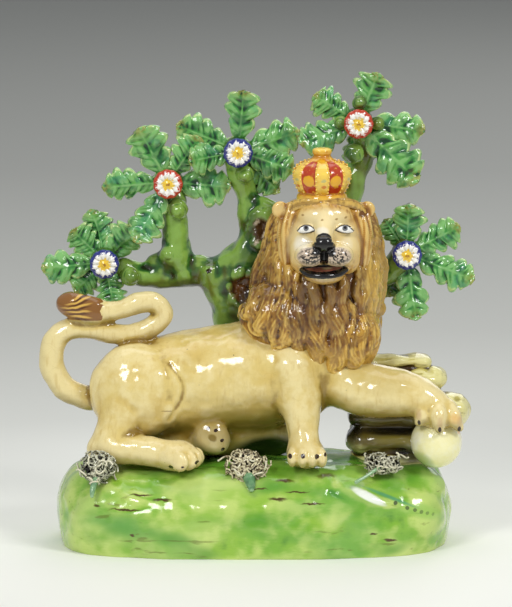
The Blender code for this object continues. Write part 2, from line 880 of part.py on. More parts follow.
ground = bmesh.new()
slab = Matrix.Translation((0, 0, -10)) @ Matrix.Diagonal((200, 120, 20, 1))
bmesh.ops.create_cube(ground, size=1, matrix=slab)

lion = to_object("bocage_lion", clay, buff)
fuse(lion, 0.72, CLAY_TRIANGLES)
lute(lion, to_object("ground", ground, buff), "DIFFERENCE")
finer = to_object("head_paws_and_moss", carved, buff)
fuse(finer, 0.5, CARVED_TRIANGLES)
lute(lion, finer, "UNION")
sprigs = to_object("leaves_flowers_and_crown", leafage, buff)
fuse(sprigs, 0.45, LEAFAGE_TRIANGLES)
lute(lion, sprigs, "UNION")
settle(lion)

# The figure's outline is centred over the origin.
across = [vert.co.x for vert in lion.data.vertices]
deep = [vert.co.y for vert in lion.data.vertices]
offset = Vector((min(across) + max(across), min(deep) + max(deep), 0)) / 2
lion.data.transform(Matrix.Translation(-offset))
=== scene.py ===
import math
import random

import bmesh
import bpy
import numpy as np
from mathutils import Matrix, Vector, noise
from mathutils.bvhtree import BVHTree
from mathutils.kdtree import KDTree


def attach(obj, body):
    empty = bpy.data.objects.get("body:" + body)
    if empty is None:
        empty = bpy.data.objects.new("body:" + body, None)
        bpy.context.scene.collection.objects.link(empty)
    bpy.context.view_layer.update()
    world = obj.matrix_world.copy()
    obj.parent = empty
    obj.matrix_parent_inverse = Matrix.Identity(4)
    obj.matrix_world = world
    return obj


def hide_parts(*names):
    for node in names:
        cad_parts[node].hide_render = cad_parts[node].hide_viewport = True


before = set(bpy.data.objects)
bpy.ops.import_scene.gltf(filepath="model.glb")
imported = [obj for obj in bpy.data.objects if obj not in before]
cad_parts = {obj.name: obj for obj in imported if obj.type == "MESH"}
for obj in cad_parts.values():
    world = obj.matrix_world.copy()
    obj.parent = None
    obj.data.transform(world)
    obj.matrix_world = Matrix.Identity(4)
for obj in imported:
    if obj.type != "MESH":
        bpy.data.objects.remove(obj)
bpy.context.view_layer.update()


# The studio
# A pale table with painted shade that darkens it to grey into the distance, soft lamps
# above and to both sides, and a long lens that looks a little down on the figure.

camera_rise = math.radians(9)
camera_distance = 1.6
looks_at = Vector((-0.00019, 0.00057, 0.0823))
frame_width = 512 * 0.000341
sensor_width = 36

camera = bpy.data.objects.new("camera", bpy.data.cameras.new("camera"))
camera.data.sensor_fit = "HORIZONTAL"
camera.data.sensor_width = sensor_width
camera.data.lens = sensor_width * camera_distance / frame_width
camera.data.clip_end = 20
backwards = Vector((0, -math.cos(camera_rise), math.sin(camera_rise)))
camera.location = looks_at + camera_distance * backwards
camera.rotation_euler = (-backwards).to_track_quat("-Z", "Y").to_euler()
bpy.context.scene.collection.objects.link(camera)
bpy.context.scene.camera = camera
bpy.context.scene.view_settings.view_transform = "Standard"


def hang_lamp(name, place, breadth, power):
    """A square soft lamp that faces the figure."""
    lamp = bpy.data.objects.new(name, bpy.data.lights.new(name, "AREA"))
    lamp.data.shape = "SQUARE"
    lamp.data.size = breadth
    lamp.data.energy = power
    lamp.location = place
    lamp.rotation_euler = (looks_at - Vector(place)).to_track_quat("-Z", "Y").to_euler()
    bpy.context.scene.collection.objects.link(lamp)


hang_lamp("lamp_above_left", (-0.60, -1.10, 0.95), 0.42, 8.5)
hang_lamp("lamp_above_right", (0.80, -0.75, 1.05), 0.35, 7.5)
hang_lamp("lamp_overhead", (0.0, 0.35, 1.5), 1.2, 6.0)
hang_lamp("lamp_behind", (0.5, 1.5, 0.9), 0.8, 3.0)


def add_node(tree, kind, feeds=None, **settings):
    """Adds a node with its settings. Each input is given a value or the socket feeding it."""
    node = tree.nodes.new(kind)
    for setting, value in settings.items():
        setattr(node, setting, value)
    for socket, value in (feeds or {}).items():
        if isinstance(value, bpy.types.NodeSocket):
            tree.links.new(value, node.inputs[socket])
        else:
            node.inputs[socket].default_value = value
    return node


air = bpy.data.worlds.new("studio air")
air.use_nodes = True
air.node_tree.nodes["Background"].inputs["Color"].default_value = (0.93, 0.97, 1.0, 1)
air.node_tree.nodes["Background"].inputs["Strength"].default_value = 0.42
bpy.context.scene.world = air


# How pale the table is painted, by the metres from the figure: painted light near it, painted shade far
# off.
painted_shade_greys = [(0.0, 0.94), (0.12, 0.86), (0.24, 0.64), (0.46, 0.50), (1.0, 0.36), (2.0, 0.29)]
table_tint = (1.0, 1.0, 0.93)


def keep_mesh(shape, name):
    """A finished shape kept as a mesh."""
    mesh = bpy.data.meshes.new(name)
    shape.to_mesh(mesh)
    shape.free()
    return mesh


def lay_table():
    """A wide round table, painted near white under the figure and mid grey far off as painted light and
    shade.
    """
    disc = bmesh.new()
    bmesh.ops.create_circle(disc, cap_ends=True, segments=96, radius=6)
    mesh = keep_mesh(disc, "table")
    paper = bpy.data.materials.new("paper sweep")
    paper.use_nodes = True
    tree = paper.node_tree
    place = add_node(tree, "ShaderNodeTexCoord").outputs["Object"]
    far = add_node(tree, "ShaderNodeVectorMath", {0: place}, operation="LENGTH")
    feeds = {0: far.outputs["Value"], 1: 0.0, 2: painted_shade_greys[-1][0]}
    share = add_node(tree, "ShaderNodeMapRange", feeds).outputs[0]
    ramp = add_node(tree, "ShaderNodeValToRGB", {0: share}).color_ramp
    for metres, grey in painted_shade_greys[1:-1]:
        ramp.elements.new(metres / painted_shade_greys[-1][0])
    for stop, (_, grey) in zip(ramp.elements, painted_shade_greys):
        stop.color = [grey * channel for channel in table_tint] + [1]
    shader = tree.nodes["Principled BSDF"]
    tree.links.new(tree.nodes["Color Ramp"].outputs[0], shader.inputs["Base Color"])
    shader.inputs["Roughness"].default_value = 0.7
    mesh.materials.append(paper)
    table = bpy.data.objects.new("table", mesh)
    bpy.context.scene.collection.objects.link(table)


lay_table()


# The mound
# A low green bank with an upright lower band, pressed in a mould and washed with green
# glaze in broad brush strokes, with a few brown strokes over it.

base_length = 135.0
base_depth = 66.0
base_height = 29.0
to_real_place = Matrix.Scale(0.001, 4) @ Matrix.Translation((-0.888, 0.57, 0.0))


def spline(stations, steps):
    """Points of a smooth line through the stations, each (x, y, z, radius)."""
    knots = [Vector(station) for station in stations]
    knots = [2 * knots[0] - knots[1]] + knots + [2 * knots[-1] - knots[-2]]
    line = []
    for first, start, end, last in zip(knots, knots[1:], knots[2:], knots[3:]):
        for step in range(steps):
            t = step / steps
            bend = (2 * first - 5 * start + 4 * end - last) * t * t
            swing = (3 * start - first - 3 * end + last) * t * t * t
            line.append(0.5 * (2 * start + (end - first) * t + bend + swing))
    line.append(knots[-2])
    return line


def skin(clay, rings):
    """Closes a stack of equal rings into one solid, with a point at each end."""
    rows = [[clay.verts.new(point) for point in ring] for ring in rings]
    sides = len(rows[0])
    for low, high in zip(rows, rows[1:]):
        for k in range(sides):
            n = (k + 1) % sides
            clay.faces.new((low[k], low[n], high[n], high[k]))
    for row, turned in ((rows[0], True), (rows[-1], False)):
        middle = clay.verts.new(sum((v.co for v in row), Vector()) / sides)
        for k in range(sides):
            n = (k + 1) % sides
            face = (row[n], row[k], middle) if turned else (row[k], row[n], middle)
            clay.faces.new(face)
    return rows


def roll(clay, stations, broad=1.0, facing=(0, -1, 0), sides=24, steps=8):
    """A roll of clay with rounded ends. Broad widens it across the facing direction."""
    line = spline(stations, steps)
    rings = []
    count = len(line)
    for index, point in enumerate(line):
        ahead = line[min(index + 1, count - 1)].xyz
        behind = line[max(index - 1, 0)].xyz
        along = (ahead - behind).normalized()
        across = along.cross(Vector(facing)).normalized()
        out = across.cross(along)
        caps = [(0, 1)]
        if index == 0:
            caps = [(-0.98, 0.2), (-0.87, 0.5), (-0.5, 0.87), (0, 1)]
        if index == count - 1:
            caps = [(0, 1), (0.5, 0.87), (0.87, 0.5), (0.98, 0.2)]
        for shift, shrink in caps:
            reach = point.w * shrink
            ring = []
            for side in range(sides):
                angle = 2 * math.pi * side / sides
                spot = across * broad * math.cos(angle) + out * math.sin(angle)
                ring.append(point.xyz + along * point.w * shift + spot * reach)
            rings.append(ring)
    skin(clay, rings)


def lump(clay, centre, radii, turn=(0, 0, 0)):
    """An egg of clay. The turn is in degrees about X, Y and Z."""
    placed = Matrix.Translation(centre)
    for axis, angle in zip("XYZ", turn):
        placed = placed @ Matrix.Rotation(math.radians(angle), 4, axis)
    placed = placed @ Matrix.Diagonal((*radii, 1))
    bmesh.ops.create_icosphere(clay, subdivisions=4, radius=1, matrix=placed)


def press(clay, grain, calm):
    """Fuses a pile of clay shapes into one skin, softens it, and drops any inner bubble."""
    pile = keep_mesh(clay, "pile")
    holder = bpy.data.objects.new("pile", pile)
    bpy.context.scene.collection.objects.link(holder)
    fuse = holder.modifiers.new("fuse", "REMESH")
    fuse.mode = "VOXEL"
    fuse.voxel_size = grain
    soften = holder.modifiers.new("soften", "SMOOTH")
    soften.factor = 0.5
    soften.iterations = calm
    graph = bpy.context.evaluated_depsgraph_get()
    mesh = bpy.data.meshes.new_from_object(holder.evaluated_get(graph))
    bpy.data.objects.remove(holder)
    bpy.data.meshes.remove(pile)
    shape = bmesh.new()
    shape.from_mesh(mesh)
    unseen = set(shape.verts)
    shells = []
    while unseen:
        shell = [unseen.pop()]
        for vert in shell:
            for edge in vert.link_edges:
                other = edge.other_vert(vert)
                if other in unseen:
                    unseen.remove(other)
                    shell.append(other)
        shells.append(shell)
    shells.sort(key=len)
    for bubble in shells[:-1]:
        bmesh.ops.delete(shape, geom=bubble, context="VERTS")
    shape.to_mesh(mesh)
    shape.free()
    return mesh


def read_places(mesh):
    places = np.empty(len(mesh.vertices) * 3, np.float32)
    mesh.vertices.foreach_get("co", places)
    return places.reshape(-1, 3).astype(float)


def write_places(mesh, places):
    mesh.vertices.foreach_set("co", places.astype(np.float32).ravel())
    mesh.update()


def read_normals(mesh):
    normals = np.empty(len(mesh.vertices) * 3, np.float32)
    mesh.vertices.foreach_get("normal", normals)
    return normals.reshape(-1, 3).astype(float)


def mark(mesh, name, values):
    """Keeps a number for each point of the mesh, for the painter to read."""
    kept = mesh.attributes.get(name) or mesh.attributes.new(name, "FLOAT", "POINT")
    kept.data.foreach_set("value", np.asarray(values, np.float32))


def mark_undersides(mesh):
    """Marks how far each point faces down, from 0 at upright to 1 at straight down."""
    mark(mesh, "under", np.clip(-read_normals(mesh)[:, 2], 0, 1))


def mark_hollows(mesh, *scales):
    """Marks how deep a point lies in a hollow, up to 1, or stands on a ridge, down to -1.

    Each scale is how many passes of calming, and the depth in millimetres that counts as 1."""
    count = len(mesh.vertices)
    ends = np.empty(len(mesh.edges) * 2, np.int32)
    mesh.edges.foreach_get("vertices", ends)
    here, there = ends.reshape(-1, 2).T
    places = read_places(mesh)
    normals = read_normals(mesh)
    near = np.bincount(here, minlength=count) + np.bincount(there, minlength=count)
    calm = places.copy()
    sunk = np.zeros(count)
    done = 0
    for passes, depth in sorted(scales):
        for _ in range(passes - done):
            total = np.empty_like(calm)
            for axis in range(3):
                total[:, axis] = np.bincount(here, calm[there, axis], count)
                total[:, axis] += np.bincount(there, calm[here, axis], count)
            calm = total / np.maximum(near, 1)[:, None]
        done = passes
        sunk += ((calm - places) * normals).sum(1) / depth
    mark(mesh, "hollow", np.clip(sunk, -1, 1))


def score(mesh, stations, width, depth, through=False):
    """Scores a line in the soft clay, or raises it where the depth is negative.

    A line drawn through marks all that it crosses on the front, whatever its depth."""
    places = read_places(mesh)
    normals = read_normals(mesh)
    nearest = np.full(len(places), 1e9)
    for spot in spline([(*station, 0) for station in stations], 12):
        away = (places - np.array(spot.xyz)) ** 2
        nearest = np.minimum(nearest, away[:, 0] + away[:, 2] + (0 if through else away[:, 1]))
    push = depth * np.exp(-nearest / width**2)
    if through:
        push *= normals[:, 1] < 0
    write_places(mesh, places - normals * push[:, None])


def dent(mesh, centre, size, depth):
    """Presses a soft hollow in from the front, of a size across, deep and high."""
    places = read_places(mesh)
    share = (((places - np.array(centre)) / np.array(size)) ** 2).sum(1)
    places[:, 1] += depth * np.exp(-share)
    write_places(mesh, places)


def unsettle(mesh, size, reach):
    """The slight unevenness of hand work: waves of a size and reach in millimetres."""
    moved = read_places(mesh)
    shifts = [noise.noise(Vector(place) / size) for place in moved]
    write_places(mesh, moved + read_normals(mesh) * (reach * np.array(shifts))[:, None])


def fire(name, mesh, material=None):
    """Sets a finished mesh in its real place and size, as a piece of the figure."""
    mesh.transform(to_real_place)
    mesh.name = name
    if material:
        mesh.materials.clear()
        mesh.materials.append(material)
    mesh.shade_smooth()
    piece = bpy.data.objects.new(name, mesh)
    bpy.context.scene.collection.objects.link(piece)
    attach(piece, "root")
    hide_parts("bocage_lion")
    return piece


def new_group(name, inputs, outputs):
    """A shader node group with named inputs and outputs: (name, kind, value) each."""
    group = bpy.data.node_groups.new(name, "ShaderNodeTree")
    for label, kind, value in inputs:
        socket = group.interface.new_socket(label, in_out="INPUT", socket_type=kind)
        socket.default_value = value
    for label, kind in outputs:
        group.interface.new_socket(label, in_out="OUTPUT", socket_type=kind)
    group.nodes.new("NodeGroupInput")
    group.nodes.new("NodeGroupOutput")
    return group, group.nodes["Group Input"].outputs, group.nodes["Group Output"].inputs


def blend(tree, share, under, over):
    """The colour over laid on the colour under, by a share."""
    feeds = {0: share, 6: under, 7: over}
    return add_node(tree, "ShaderNodeMix", feeds, data_type="RGBA").outputs[2]


def ramp_of(tree, value, low, high, start=0.0, end=1.0):
    """A value read smoothly from low to high as start to end."""
    feeds = {0: value, 1: low, 2: high, 3: start, 4: end}
    return add_node(tree, "ShaderNodeMapRange", feeds, interpolation_type="SMOOTHSTEP").outputs[0]


def sum_of(tree, first, second, how="ADD"):
    return add_node(tree, "ShaderNodeMath", {0: first, 1: second}, operation=how).outputs[0]


def noise_of(tree, place, scale, detail):
    """Smooth random values between 0 and 1 over a place."""
    feeds = {"Vector": place, "Scale": scale, "Detail": detail}
    return add_node(tree, "ShaderNodeTexNoise", feeds).outputs["Fac"]


def make_lead_glaze():
    """Runny coloured glaze: darker where it pools, thin on ridges, with specks and crazing."""
    colour, number, vector = "NodeSocketColor", "NodeSocketFloat", "NodeSocketVector"
    group, given, made = new_group(
        "lead_glaze",
        [
            ("Position", vector, (0, 0, 0)),
            ("Hollow", number, 0.0),
            ("Body", colour, (0.6, 0.5, 0.3, 1)),
            ("Thin", colour, (0.8, 0.7, 0.5, 1)),
            ("Pooled", colour, (0.3, 0.2, 0.1, 1)),
            ("Patch", colour, (0.6, 0.5, 0.3, 1)),
            ("Stretch", vector, (1, 1, 1)),
            ("Patch Size", number, 0.008),
            ("Specks", number, 0.3),
        ],
        [("Colour", colour), ("Roughness", number), ("Height", number)],
    )
    place = given["Position"]
    drawn = add_node(
        group, "ShaderNodeVectorMath", {0: place, 1: given["Stretch"]}, operation="MULTIPLY"
    ).outputs[0]
    patch_scale = sum_of(group, 1.0, given["Patch Size"], "DIVIDE")
    wash = noise_of(group, drawn, patch_scale, 2.0)
    grain = noise_of(group, drawn, 900.0, 2.0)
    coat = blend(group, ramp_of(group, wash, 0.38, 0.68), given["Body"], given["Patch"])
    shift = sum_of(group, sum_of(group, grain, 0.5, "SUBTRACT"), 0.5, "MULTIPLY")
    level = sum_of(group, given["Hollow"], shift)
    coat = blend(group, ramp_of(group, level, 0.0, 1.0), coat, given["Pooled"])
    coat = blend(group, ramp_of(group, level, 0.0, -0.9), coat, given["Thin"])
    dots = add_node(group, "ShaderNodeTexVoronoi", {"Vector": place, "Scale": 260.0})
    chosen = add_node(group, "ShaderNodeSeparateColor", {0: dots.outputs["Color"]}).outputs[0]
    rare = ramp_of(group, chosen, 0.86, 0.9)
    dot = sum_of(group, ramp_of(group, dots.outputs["Distance"], 0.1, 0.03), rare, "MULTIPLY")
    dot = sum_of(group, dot, given["Specks"], "MULTIPLY")
    coat = blend(group, dot, coat, (0.03, 0.02, 0.012, 1))
    cracks = add_node(
        group,
        "ShaderNodeTexVoronoi",
        {"Vector": place, "Scale": 420.0},
        feature="DISTANCE_TO_EDGE",
    ).outputs["Distance"]
    crack = ramp_of(group, cracks, 0.03, 0.0, 0.0, 0.10)
    coat = blend(group, crack, coat, given["Pooled"])
    group.links.new(coat, made["Colour"])
    group.links.new(ramp_of(group, grain, 0.3, 0.7, 0.07, 0.15), made["Roughness"])
    swell = noise_of(group, place, 170.0, 1.0)
    height = sum_of(group, swell, sum_of(group, grain, 0.05, "MULTIPLY"))
    group.links.new(height, made["Height"])
    return group


lead_glaze = make_lead_glaze()


def make_brush_mark():
    """One touch of the brush: an ellipse, or an almond, that may be turned or bowed."""
    colour, number, vector = "NodeSocketColor", "NodeSocketFloat", "NodeSocketVector"
    group, given, made = new_group(
        "brush_mark",
        [
            ("Under", colour, (1, 1, 1, 1)),
            ("Paint", colour, (0, 0, 0, 1)),
            ("Position", vector, (0, 0, 0)),
            ("Centre", vector, (0, 0, 0)),
            ("Size", vector, (1, 1, 1)),
            ("Turn", number, 0.0),
            ("Bow", number, 0.0),
            ("Point", number, 2.0),
            ("Soft", number, 0.2),
            ("Strength", number, 1.0),
        ],
        [("Colour", colour)],
    )
    turned = add_node(
        group,
        "ShaderNodeVectorRotate",
        {"Vector": given["Position"], "Center": given["Centre"], "Angle": given["Turn"]},
        rotation_type="Y_AXIS",
    ).outputs[0]
    away = add_node(
        group, "ShaderNodeVectorMath", {0: turned, 1: given["Centre"]}, operation="SUBTRACT"
    ).outputs[0]
    share = add_node(
        group, "ShaderNodeVectorMath", {0: away, 1: given["Size"]}, operation="DIVIDE"
    ).outputs[0]
    axes = add_node(group, "ShaderNodeSeparateXYZ", {0: share}).outputs
    wide = sum_of(group, axes[0], axes[0], "MULTIPLY")
    deep = sum_of(group, axes[1], axes[1], "MULTIPLY")
    arch = sum_of(group, wide, given["Bow"], "MULTIPLY")
    high = add_node(
        group, "ShaderNodeMath", {0: sum_of(group, axes[2], arch, "SUBTRACT")}, operation="ABSOLUTE"
    ).outputs[0]
    high = sum_of(group, high, given["Point"], "POWER")
    left = sum_of(group, 1.0, sum_of(group, wide, sum_of(group, deep, high)), "SUBTRACT")
    soft = ramp_of(group, left, 0.0, given["Soft"])
    mask = sum_of(group, soft, given["Strength"], "MULTIPLY")
    group.links.new(blend(group, mask, given["Under"], given["Paint"]), made["Colour"])
    return group


brush_mark = make_brush_mark()


def srgb(red, green, blue):
    """A colour as it looks, from 0 to 255, in the numbers that light uses."""
    shares = [channel / 255 for channel in (red, green, blue)]
    return tuple(s / 12.92 if s < 0.04045 else ((s + 0.055) / 1.055) ** 2.4 for s in shares) + (1,)


class Glaze:
    """A glazed finish: lead glaze, then touches of the brush over it."""

    def __init__(self, name, body, thin, pooled, patch, size=8.0, stretch=(1, 1, 1), specks=0.3):
        self.material = bpy.data.materials.new(name)
        self.material.use_nodes = True
        self.tree = self.material.node_tree
        self.place = add_node(self.tree, "ShaderNodeTexCoord").outputs["Object"]
        feeds = {
            "Position": self.place,
            "Hollow": self.number("hollow"),
            "Body": body,
            "Thin": thin,
            "Pooled": pooled,
            "Patch": patch,
            "Stretch": stretch,
            "Patch Size": size / 1000,
            "Specks": specks,
        }
        self.glaze = add_node(self.tree, "ShaderNodeGroup", {}, node_tree=lead_glaze)
        for socket, value in feeds.items():
            if isinstance(value, bpy.types.NodeSocket):
                self.tree.links.new(value, self.glaze.inputs[socket])
            else:
                self.glaze.inputs[socket].default_value = value
        self.colour = self.glaze.outputs["Colour"]
        self.hand = self.place

    def number(self, name):
        """What mark() kept on the mesh."""
        return add_node(self.tree, "ShaderNodeAttribute", attribute_name=name).outputs["Fac"]

    def unsteady(self, size, reach):
        """Makes the edges of later touches waver, as a brush does."""
        feeds = {"Vector": self.place, "Scale": 1000 / size}
        wave = add_node(self.tree, "ShaderNodeTexNoise", feeds).outputs["Color"]
        feeds = {0: wave, 1: (0.5, 0.5, 0.5)}
        wave = add_node(self.tree, "ShaderNodeVectorMath", feeds, operation="SUBTRACT").outputs[0]
        feeds = {0: wave, 1: (reach / 1000,) * 3, 2: self.place}
        self.hand = add_node(
            self.tree, "ShaderNodeVectorMath", feeds, operation="MULTIPLY_ADD"
        ).outputs[0]

    def touch(self, paint, centre, size, turn=0, bow=0, point=2, soft=0.3, strength=1.0):
        """A touch of paint. Centre and size are in millimetres, the turn in degrees."""
        node = add_node(self.tree, "ShaderNodeGroup", {}, node_tree=brush_mark)
        real = to_real_place @ Vector(centre)
        values = {
            "Paint": paint,
            "Centre": real,
            "Size": [side / 1000 for side in size],
            "Turn": math.radians(turn),
            "Bow": bow,
            "Point": point,
            "Soft": soft,
            "Strength": strength,
        }
        for socket, value in values.items():
            node.inputs[socket].default_value = value
        self.tree.links.new(self.colour, node.inputs["Under"])
        self.tree.links.new(self.hand, node.inputs["Position"])
        self.colour = node.outputs["Colour"]

    def lay(self, mask, paint):
        """Paint laid by a mask that covers the piece."""
        self.colour = blend(self.tree, mask, self.colour, paint)

    def wash(self, paint, size, stretch, low, high, strength, shift, fine=4.0):
        """A broken wash of paint, in blotches of a size in millimetres."""
        feeds = {0: self.place, 1: stretch, 2: (shift,) * 3}
        drawn = add_node(self.tree, "ShaderNodeVectorMath", feeds, operation="MULTIPLY_ADD")
        blotch = noise_of(self.tree, drawn.outputs[0], 1000 / size, fine)
        self.lay(ramp_of(self.tree, blotch, low, high, 0.0, strength), paint)

    def finish(self, bump=0.35):
        shader = self.tree.nodes["Principled BSDF"]
        self.tree.links.new(self.colour, shader.inputs["Base Color"])
        self.tree.links.new(self.glaze.outputs["Roughness"], shader.inputs["Roughness"])
        feeds = {"Height": self.glaze.outputs["Height"], "Strength": bump, "Distance": 0.001}
        raised = add_node(self.tree, "ShaderNodeBump", feeds).outputs["Normal"]
        self.tree.links.new(raised, shader.inputs["Normal"])
        shader.inputs["Coat Weight"].default_value = 0.3
        shader.inputs["Coat Roughness"].default_value = 0.04
        return self.material


def mound_edge(angle, half_length, half_depth):
    """The rounded-oblong plan of the mound, with a slow wave in its edge."""
    power = 2 / 3.05
    across = math.copysign(abs(math.cos(angle)) ** power, math.cos(angle))
    deep = math.copysign(abs(math.sin(angle)) ** power, math.sin(angle))
    wave = 1 + 0.012 * math.sin(3 * angle + 0.6) + 0.008 * math.sin(7 * angle)
    return across * half_length * wave, deep * half_depth * wave


def make_mound():
    clay = bmesh.new()
    levels = [
        (-3.0, 0.97, 0.96),
        (0.0, 0.975, 0.97),
        (1.5, 0.985, 0.98),
        (4.0, 0.995, 0.99),
        (9.0, 1.0, 1.0),
        (14.0, 1.0, 0.995),
        (17.5, 0.985, 0.97),
        (20.0, 0.965, 0.92),
        (23.0, 0.94, 0.85),
        (26.0, 0.90, 0.77),
        (28.2, 0.84, 0.68),
        (base_height, 0.74, 0.56),
        (base_height + 0.6, 0.45, 0.35),
    ]
    rings = []
    for z, long_share, deep_share in levels:
        ring = []
        for step in range(144):
            angle = 2 * math.pi * step / 144
            x, y = mound_edge(angle, base_length / 2 * long_share, base_depth / 2 * deep_share)
            rise = z + 0.8 * math.sin(4 * angle + 1.0) * min(max(z - 6, 0) / 15, 1)
            ring.append(Vector((x - 0.5, y, rise)))
        rings.append(ring)
    skin(clay, rings)
    lump(clay, (-51, 2, 19.8), (13, 21, 8.0), (0, 12, 0))
    lump(clay, (-38, -18, 13), (24, 11.5, 13))
    lump(clay, (14, -20.5, 12), (30, 11.5, 13))
    lump(clay, (50, -14, 12), (15.5, 13, 13))
    lump(clay, (56, -8, 19), (9.5, 12, 8.5))
    right_fold = [
        (28, -23.4, 23.4, 2.2),
        (35, -26.4, 20.6, 2.2),
        (47, -26.2, 17.0, 2.0),
        (57, -21.8, 14.6, 1.8),
        (63, -13, 14.0, 1.8),
    ]
    roll(clay, right_fold)
    roll(clay, [(-49, -22, 21.5, 3.0), (-40, -25.8, 19.5, 3.0), (-30, -27.4, 18.3, 2.6)])
    mesh = press(clay, 0.62, 60)
    unsettle(mesh, 9.0, 0.9)
    unsettle(mesh, 3.0, 0.15)
    score(mesh, [(28, -27, 24.5), (35, -30, 21.6), (46, -30, 18.2)], 1.8, -0.6)
    score(mesh, [(26, -28, 22.4), (34, -31, 19.0), (45, -32, 15.6), (59, -27, 12.2)], 0.9, 0.45)
    score(mesh, [(-46, -26, 23.5), (-40, -28, 21.2), (-34, -29, 20.2), (-21, -29, 20)], 0.7, 0.3)
    score(mesh, [(-50, -28, 16.4), (-43, -30, 15.8), (-35.7, -31, 17.2)], 0.7, 0.3)
    places = read_places(mesh)
    places[:, 2] = np.maximum(places[:, 2], 0)
    write_places(mesh, places)
    mark_hollows(mesh, (14, 0.35), (90, 1.4))
    return mesh


# Brown brush strokes on the slope: middle, half width and half height, in X and Z.
brown_strokes = [
    ((8.5, 29.3), (5.6, 0.5)),
    ((24.6, 27.3), (5.2, 0.8)),
    ((10.3, 25.9), (4.2, 0.6)),
    ((8.1, 20.5), (4.2, 0.55)),
    ((14.5, 22.6), (5.0, 0.35)),
    ((1.0, 23.5), (4.5, 0.3)),
    ((19.5, 19.0), (5.5, 0.3)),
    ((-31.0, 19.9), (4.0, 0.45)),
    ((-38.5, 21.2), (5.0, 0.35)),
    ((-43.0, 16.5), (7.0, 0.35)),
    ((-53.0, 17.2), (1.6, 0.5)),
    ((-41.0, 8.0), (1.2, 0.5)),
    ((40.5, 8.3), (1.6, 0.5)),
    ((46.0, 6.0), (3.0, 0.5)),
    ((58.2, 24.5), (1.3, 0.8)),
    ((52.3, 22.2), (0.6, 0.5)),
]
# The row of dabs that runs down the fold at the right, fading as the brush ran dry.
dab_row = [(47.8, 18.4), (51.8, 16.6), (54.4, 15.8), (56.6, 15.1), (58.7, 14.5), (60.6, 13.9)]


def paint_mound():
    green = Glaze(
        "green_mound_glaze",
        body=srgb(148, 190, 62),
        thin=srgb(190, 212, 112),
        pooled=srgb(62, 124, 34),
        patch=srgb(122, 176, 52),
        size=14.0,
        stretch=(0.55, 1.0, 1.6),
        specks=0.35,
    )
    flat = (0.36, 1.0, 0.9)
    green.wash(srgb(204, 220, 132), 10.0, flat, 0.48, 0.78, 0.7, 1.3, fine=1.5)
    green.wash(srgb(80, 150, 38), 9.0, flat, 0.48, 0.78, 0.9, 7.7, fine=1.5)
    green.wash(srgb(104, 166, 78), 14.0, flat, 0.50, 0.80, 0.5, 4.1, fine=1.5)
    green.wash(srgb(96, 96, 24), 2.2, (0.13, 1, 1.3), 0.62, 0.72, 0.55, 5.9)
    # Painted shade: dark green on the top of the mound under the lion's body and under the logs.
    green.touch(srgb(36, 92, 30), (-18, -8, 32), (34, 17, 5.5), soft=0.9, strength=0.9)
    green.touch(srgb(30, 84, 28), (46, -6, 30), (17, 16, 5.0), soft=0.9, strength=0.9)
    green.touch(srgb(76, 156, 44), (52, -18, 25), (14, 14, 5.5), soft=0.9, strength=0.3)
    green.touch(srgb(108, 166, 50), (4, -18, 29), (60, 14, 4.5), soft=0.9, strength=0.8)
    green.touch(srgb(122, 182, 70), (56, -26, 15.6), (12, 14, 3.0), turn=-18, soft=0.9, strength=0.5)
    # Painted highlight: a white streak along the fold at the right.
    green.touch(srgb(240, 244, 232), (38.4, -30, 21.0), (8.2, 8, 1.6), turn=-27, soft=0.7)
    green.touch(srgb(70, 146, 108), (46.0, -30, 20.2), (15, 9, 0.8), turn=-22, soft=0.9, strength=0.8)
    green.unsteady(2.5, 1.6)
    for (x, z), (long, high) in brown_strokes:
        green.touch(srgb(78, 60, 18), (x, -29, z), (long, 9, high * 1.2), soft=0.9)
    green.unsteady(1.5, 0.4)
    for order, (x, z) in enumerate(dab_row):
        green.touch(srgb(66, 80, 50), (x, -29, z), (0.8, 8, 0.75), strength=0.9 - 0.1 * order)
    return green.finish(bump=0.5)


fire("mound", make_mound(), paint_mound())


# The lion's body
# Hollow-pressed clay with the legs and tail added as rolls, under a buff glaze that goes
# olive where it pools. The claws and the pads of the far hind foot are painted brown-black.


def set_toes(clay, centre, heading, size):
    """Four toes across the front of a paw, the outer two set back."""
    forward = Vector(heading).normalized()
    side = forward.cross(Vector((0, 0, 1))).normalized()
    turn = math.degrees(math.atan2(forward.y, forward.x))
    reach = 0.72
    for toe in range(4):
        place = (toe - 1.5) / 1.5
        spot = Vector(centre) + side * place * size * reach
        spot += forward * size * (reach - 0.2 * place * place)
        spot.z -= size * 0.12
        lump(clay, spot, (size * 0.5, size * 0.26, size * 0.5), (0, 0, turn))


near_hind_paw = ((-25.8, -22.0, 33.8), (0.86, -0.5, 0), 7.2)
near_fore_paw = ((17.7, -22.5, 34.6), (0.05, -1, 0), 7.0)
sole_middle = Vector((-14.0, -13.0, 38.0))

# The fingers over the ball: where each leaves the wrist, and where its claw lies.
ball_fingers = [
    ((58.6, -16.5, 50.0), (55.8, -19.0, 44.9)),
    ((62.0, -18.5, 50.0), (62.7, -21.6, 42.9)),
    ((65.8, -16.5, 49.2), (69.4, -18.4, 42.6)),
]


def make_trunk_of_lion(clay):
    trunk = [
        (-39, 1, 53.5, 15.5),
        (-28, 0, 54.2, 17.2),
        (-12, 0, 56.4, 17.8),
        (3, -1, 58.5, 18.0),
        (17, -1, 61.0, 17.0),
    ]
    roll(clay, trunk, broad=1.03, sides=48, facing=(0, 0, 1))
    lump(clay, (-39.5, -8.5, 53.5), (16.5, 10.5, 16.5), (0, 12, 0))
    lump(clay, (-32.5, -10.5, 50.0), (9.5, 8.0, 9.0), (0, 28, 0))
    lump(clay, (-40.0, 9.0, 51.0), (15.5, 9.0, 16.0))
    lump(clay, (-20.0, 3.0, 38.0), (32.0, 13.0, 9.0))
    lump(clay, (5.0, 4.0, 35.5), (9.5, 7.0, 7.0))
    lump(clay, (14.0, -9.0, 57.0), (12.0, 9.5, 15.0), (0, -8, 0))
    lump(clay, (24.0, 0.0, 66.0), (14.5, 13.0, 13.0))


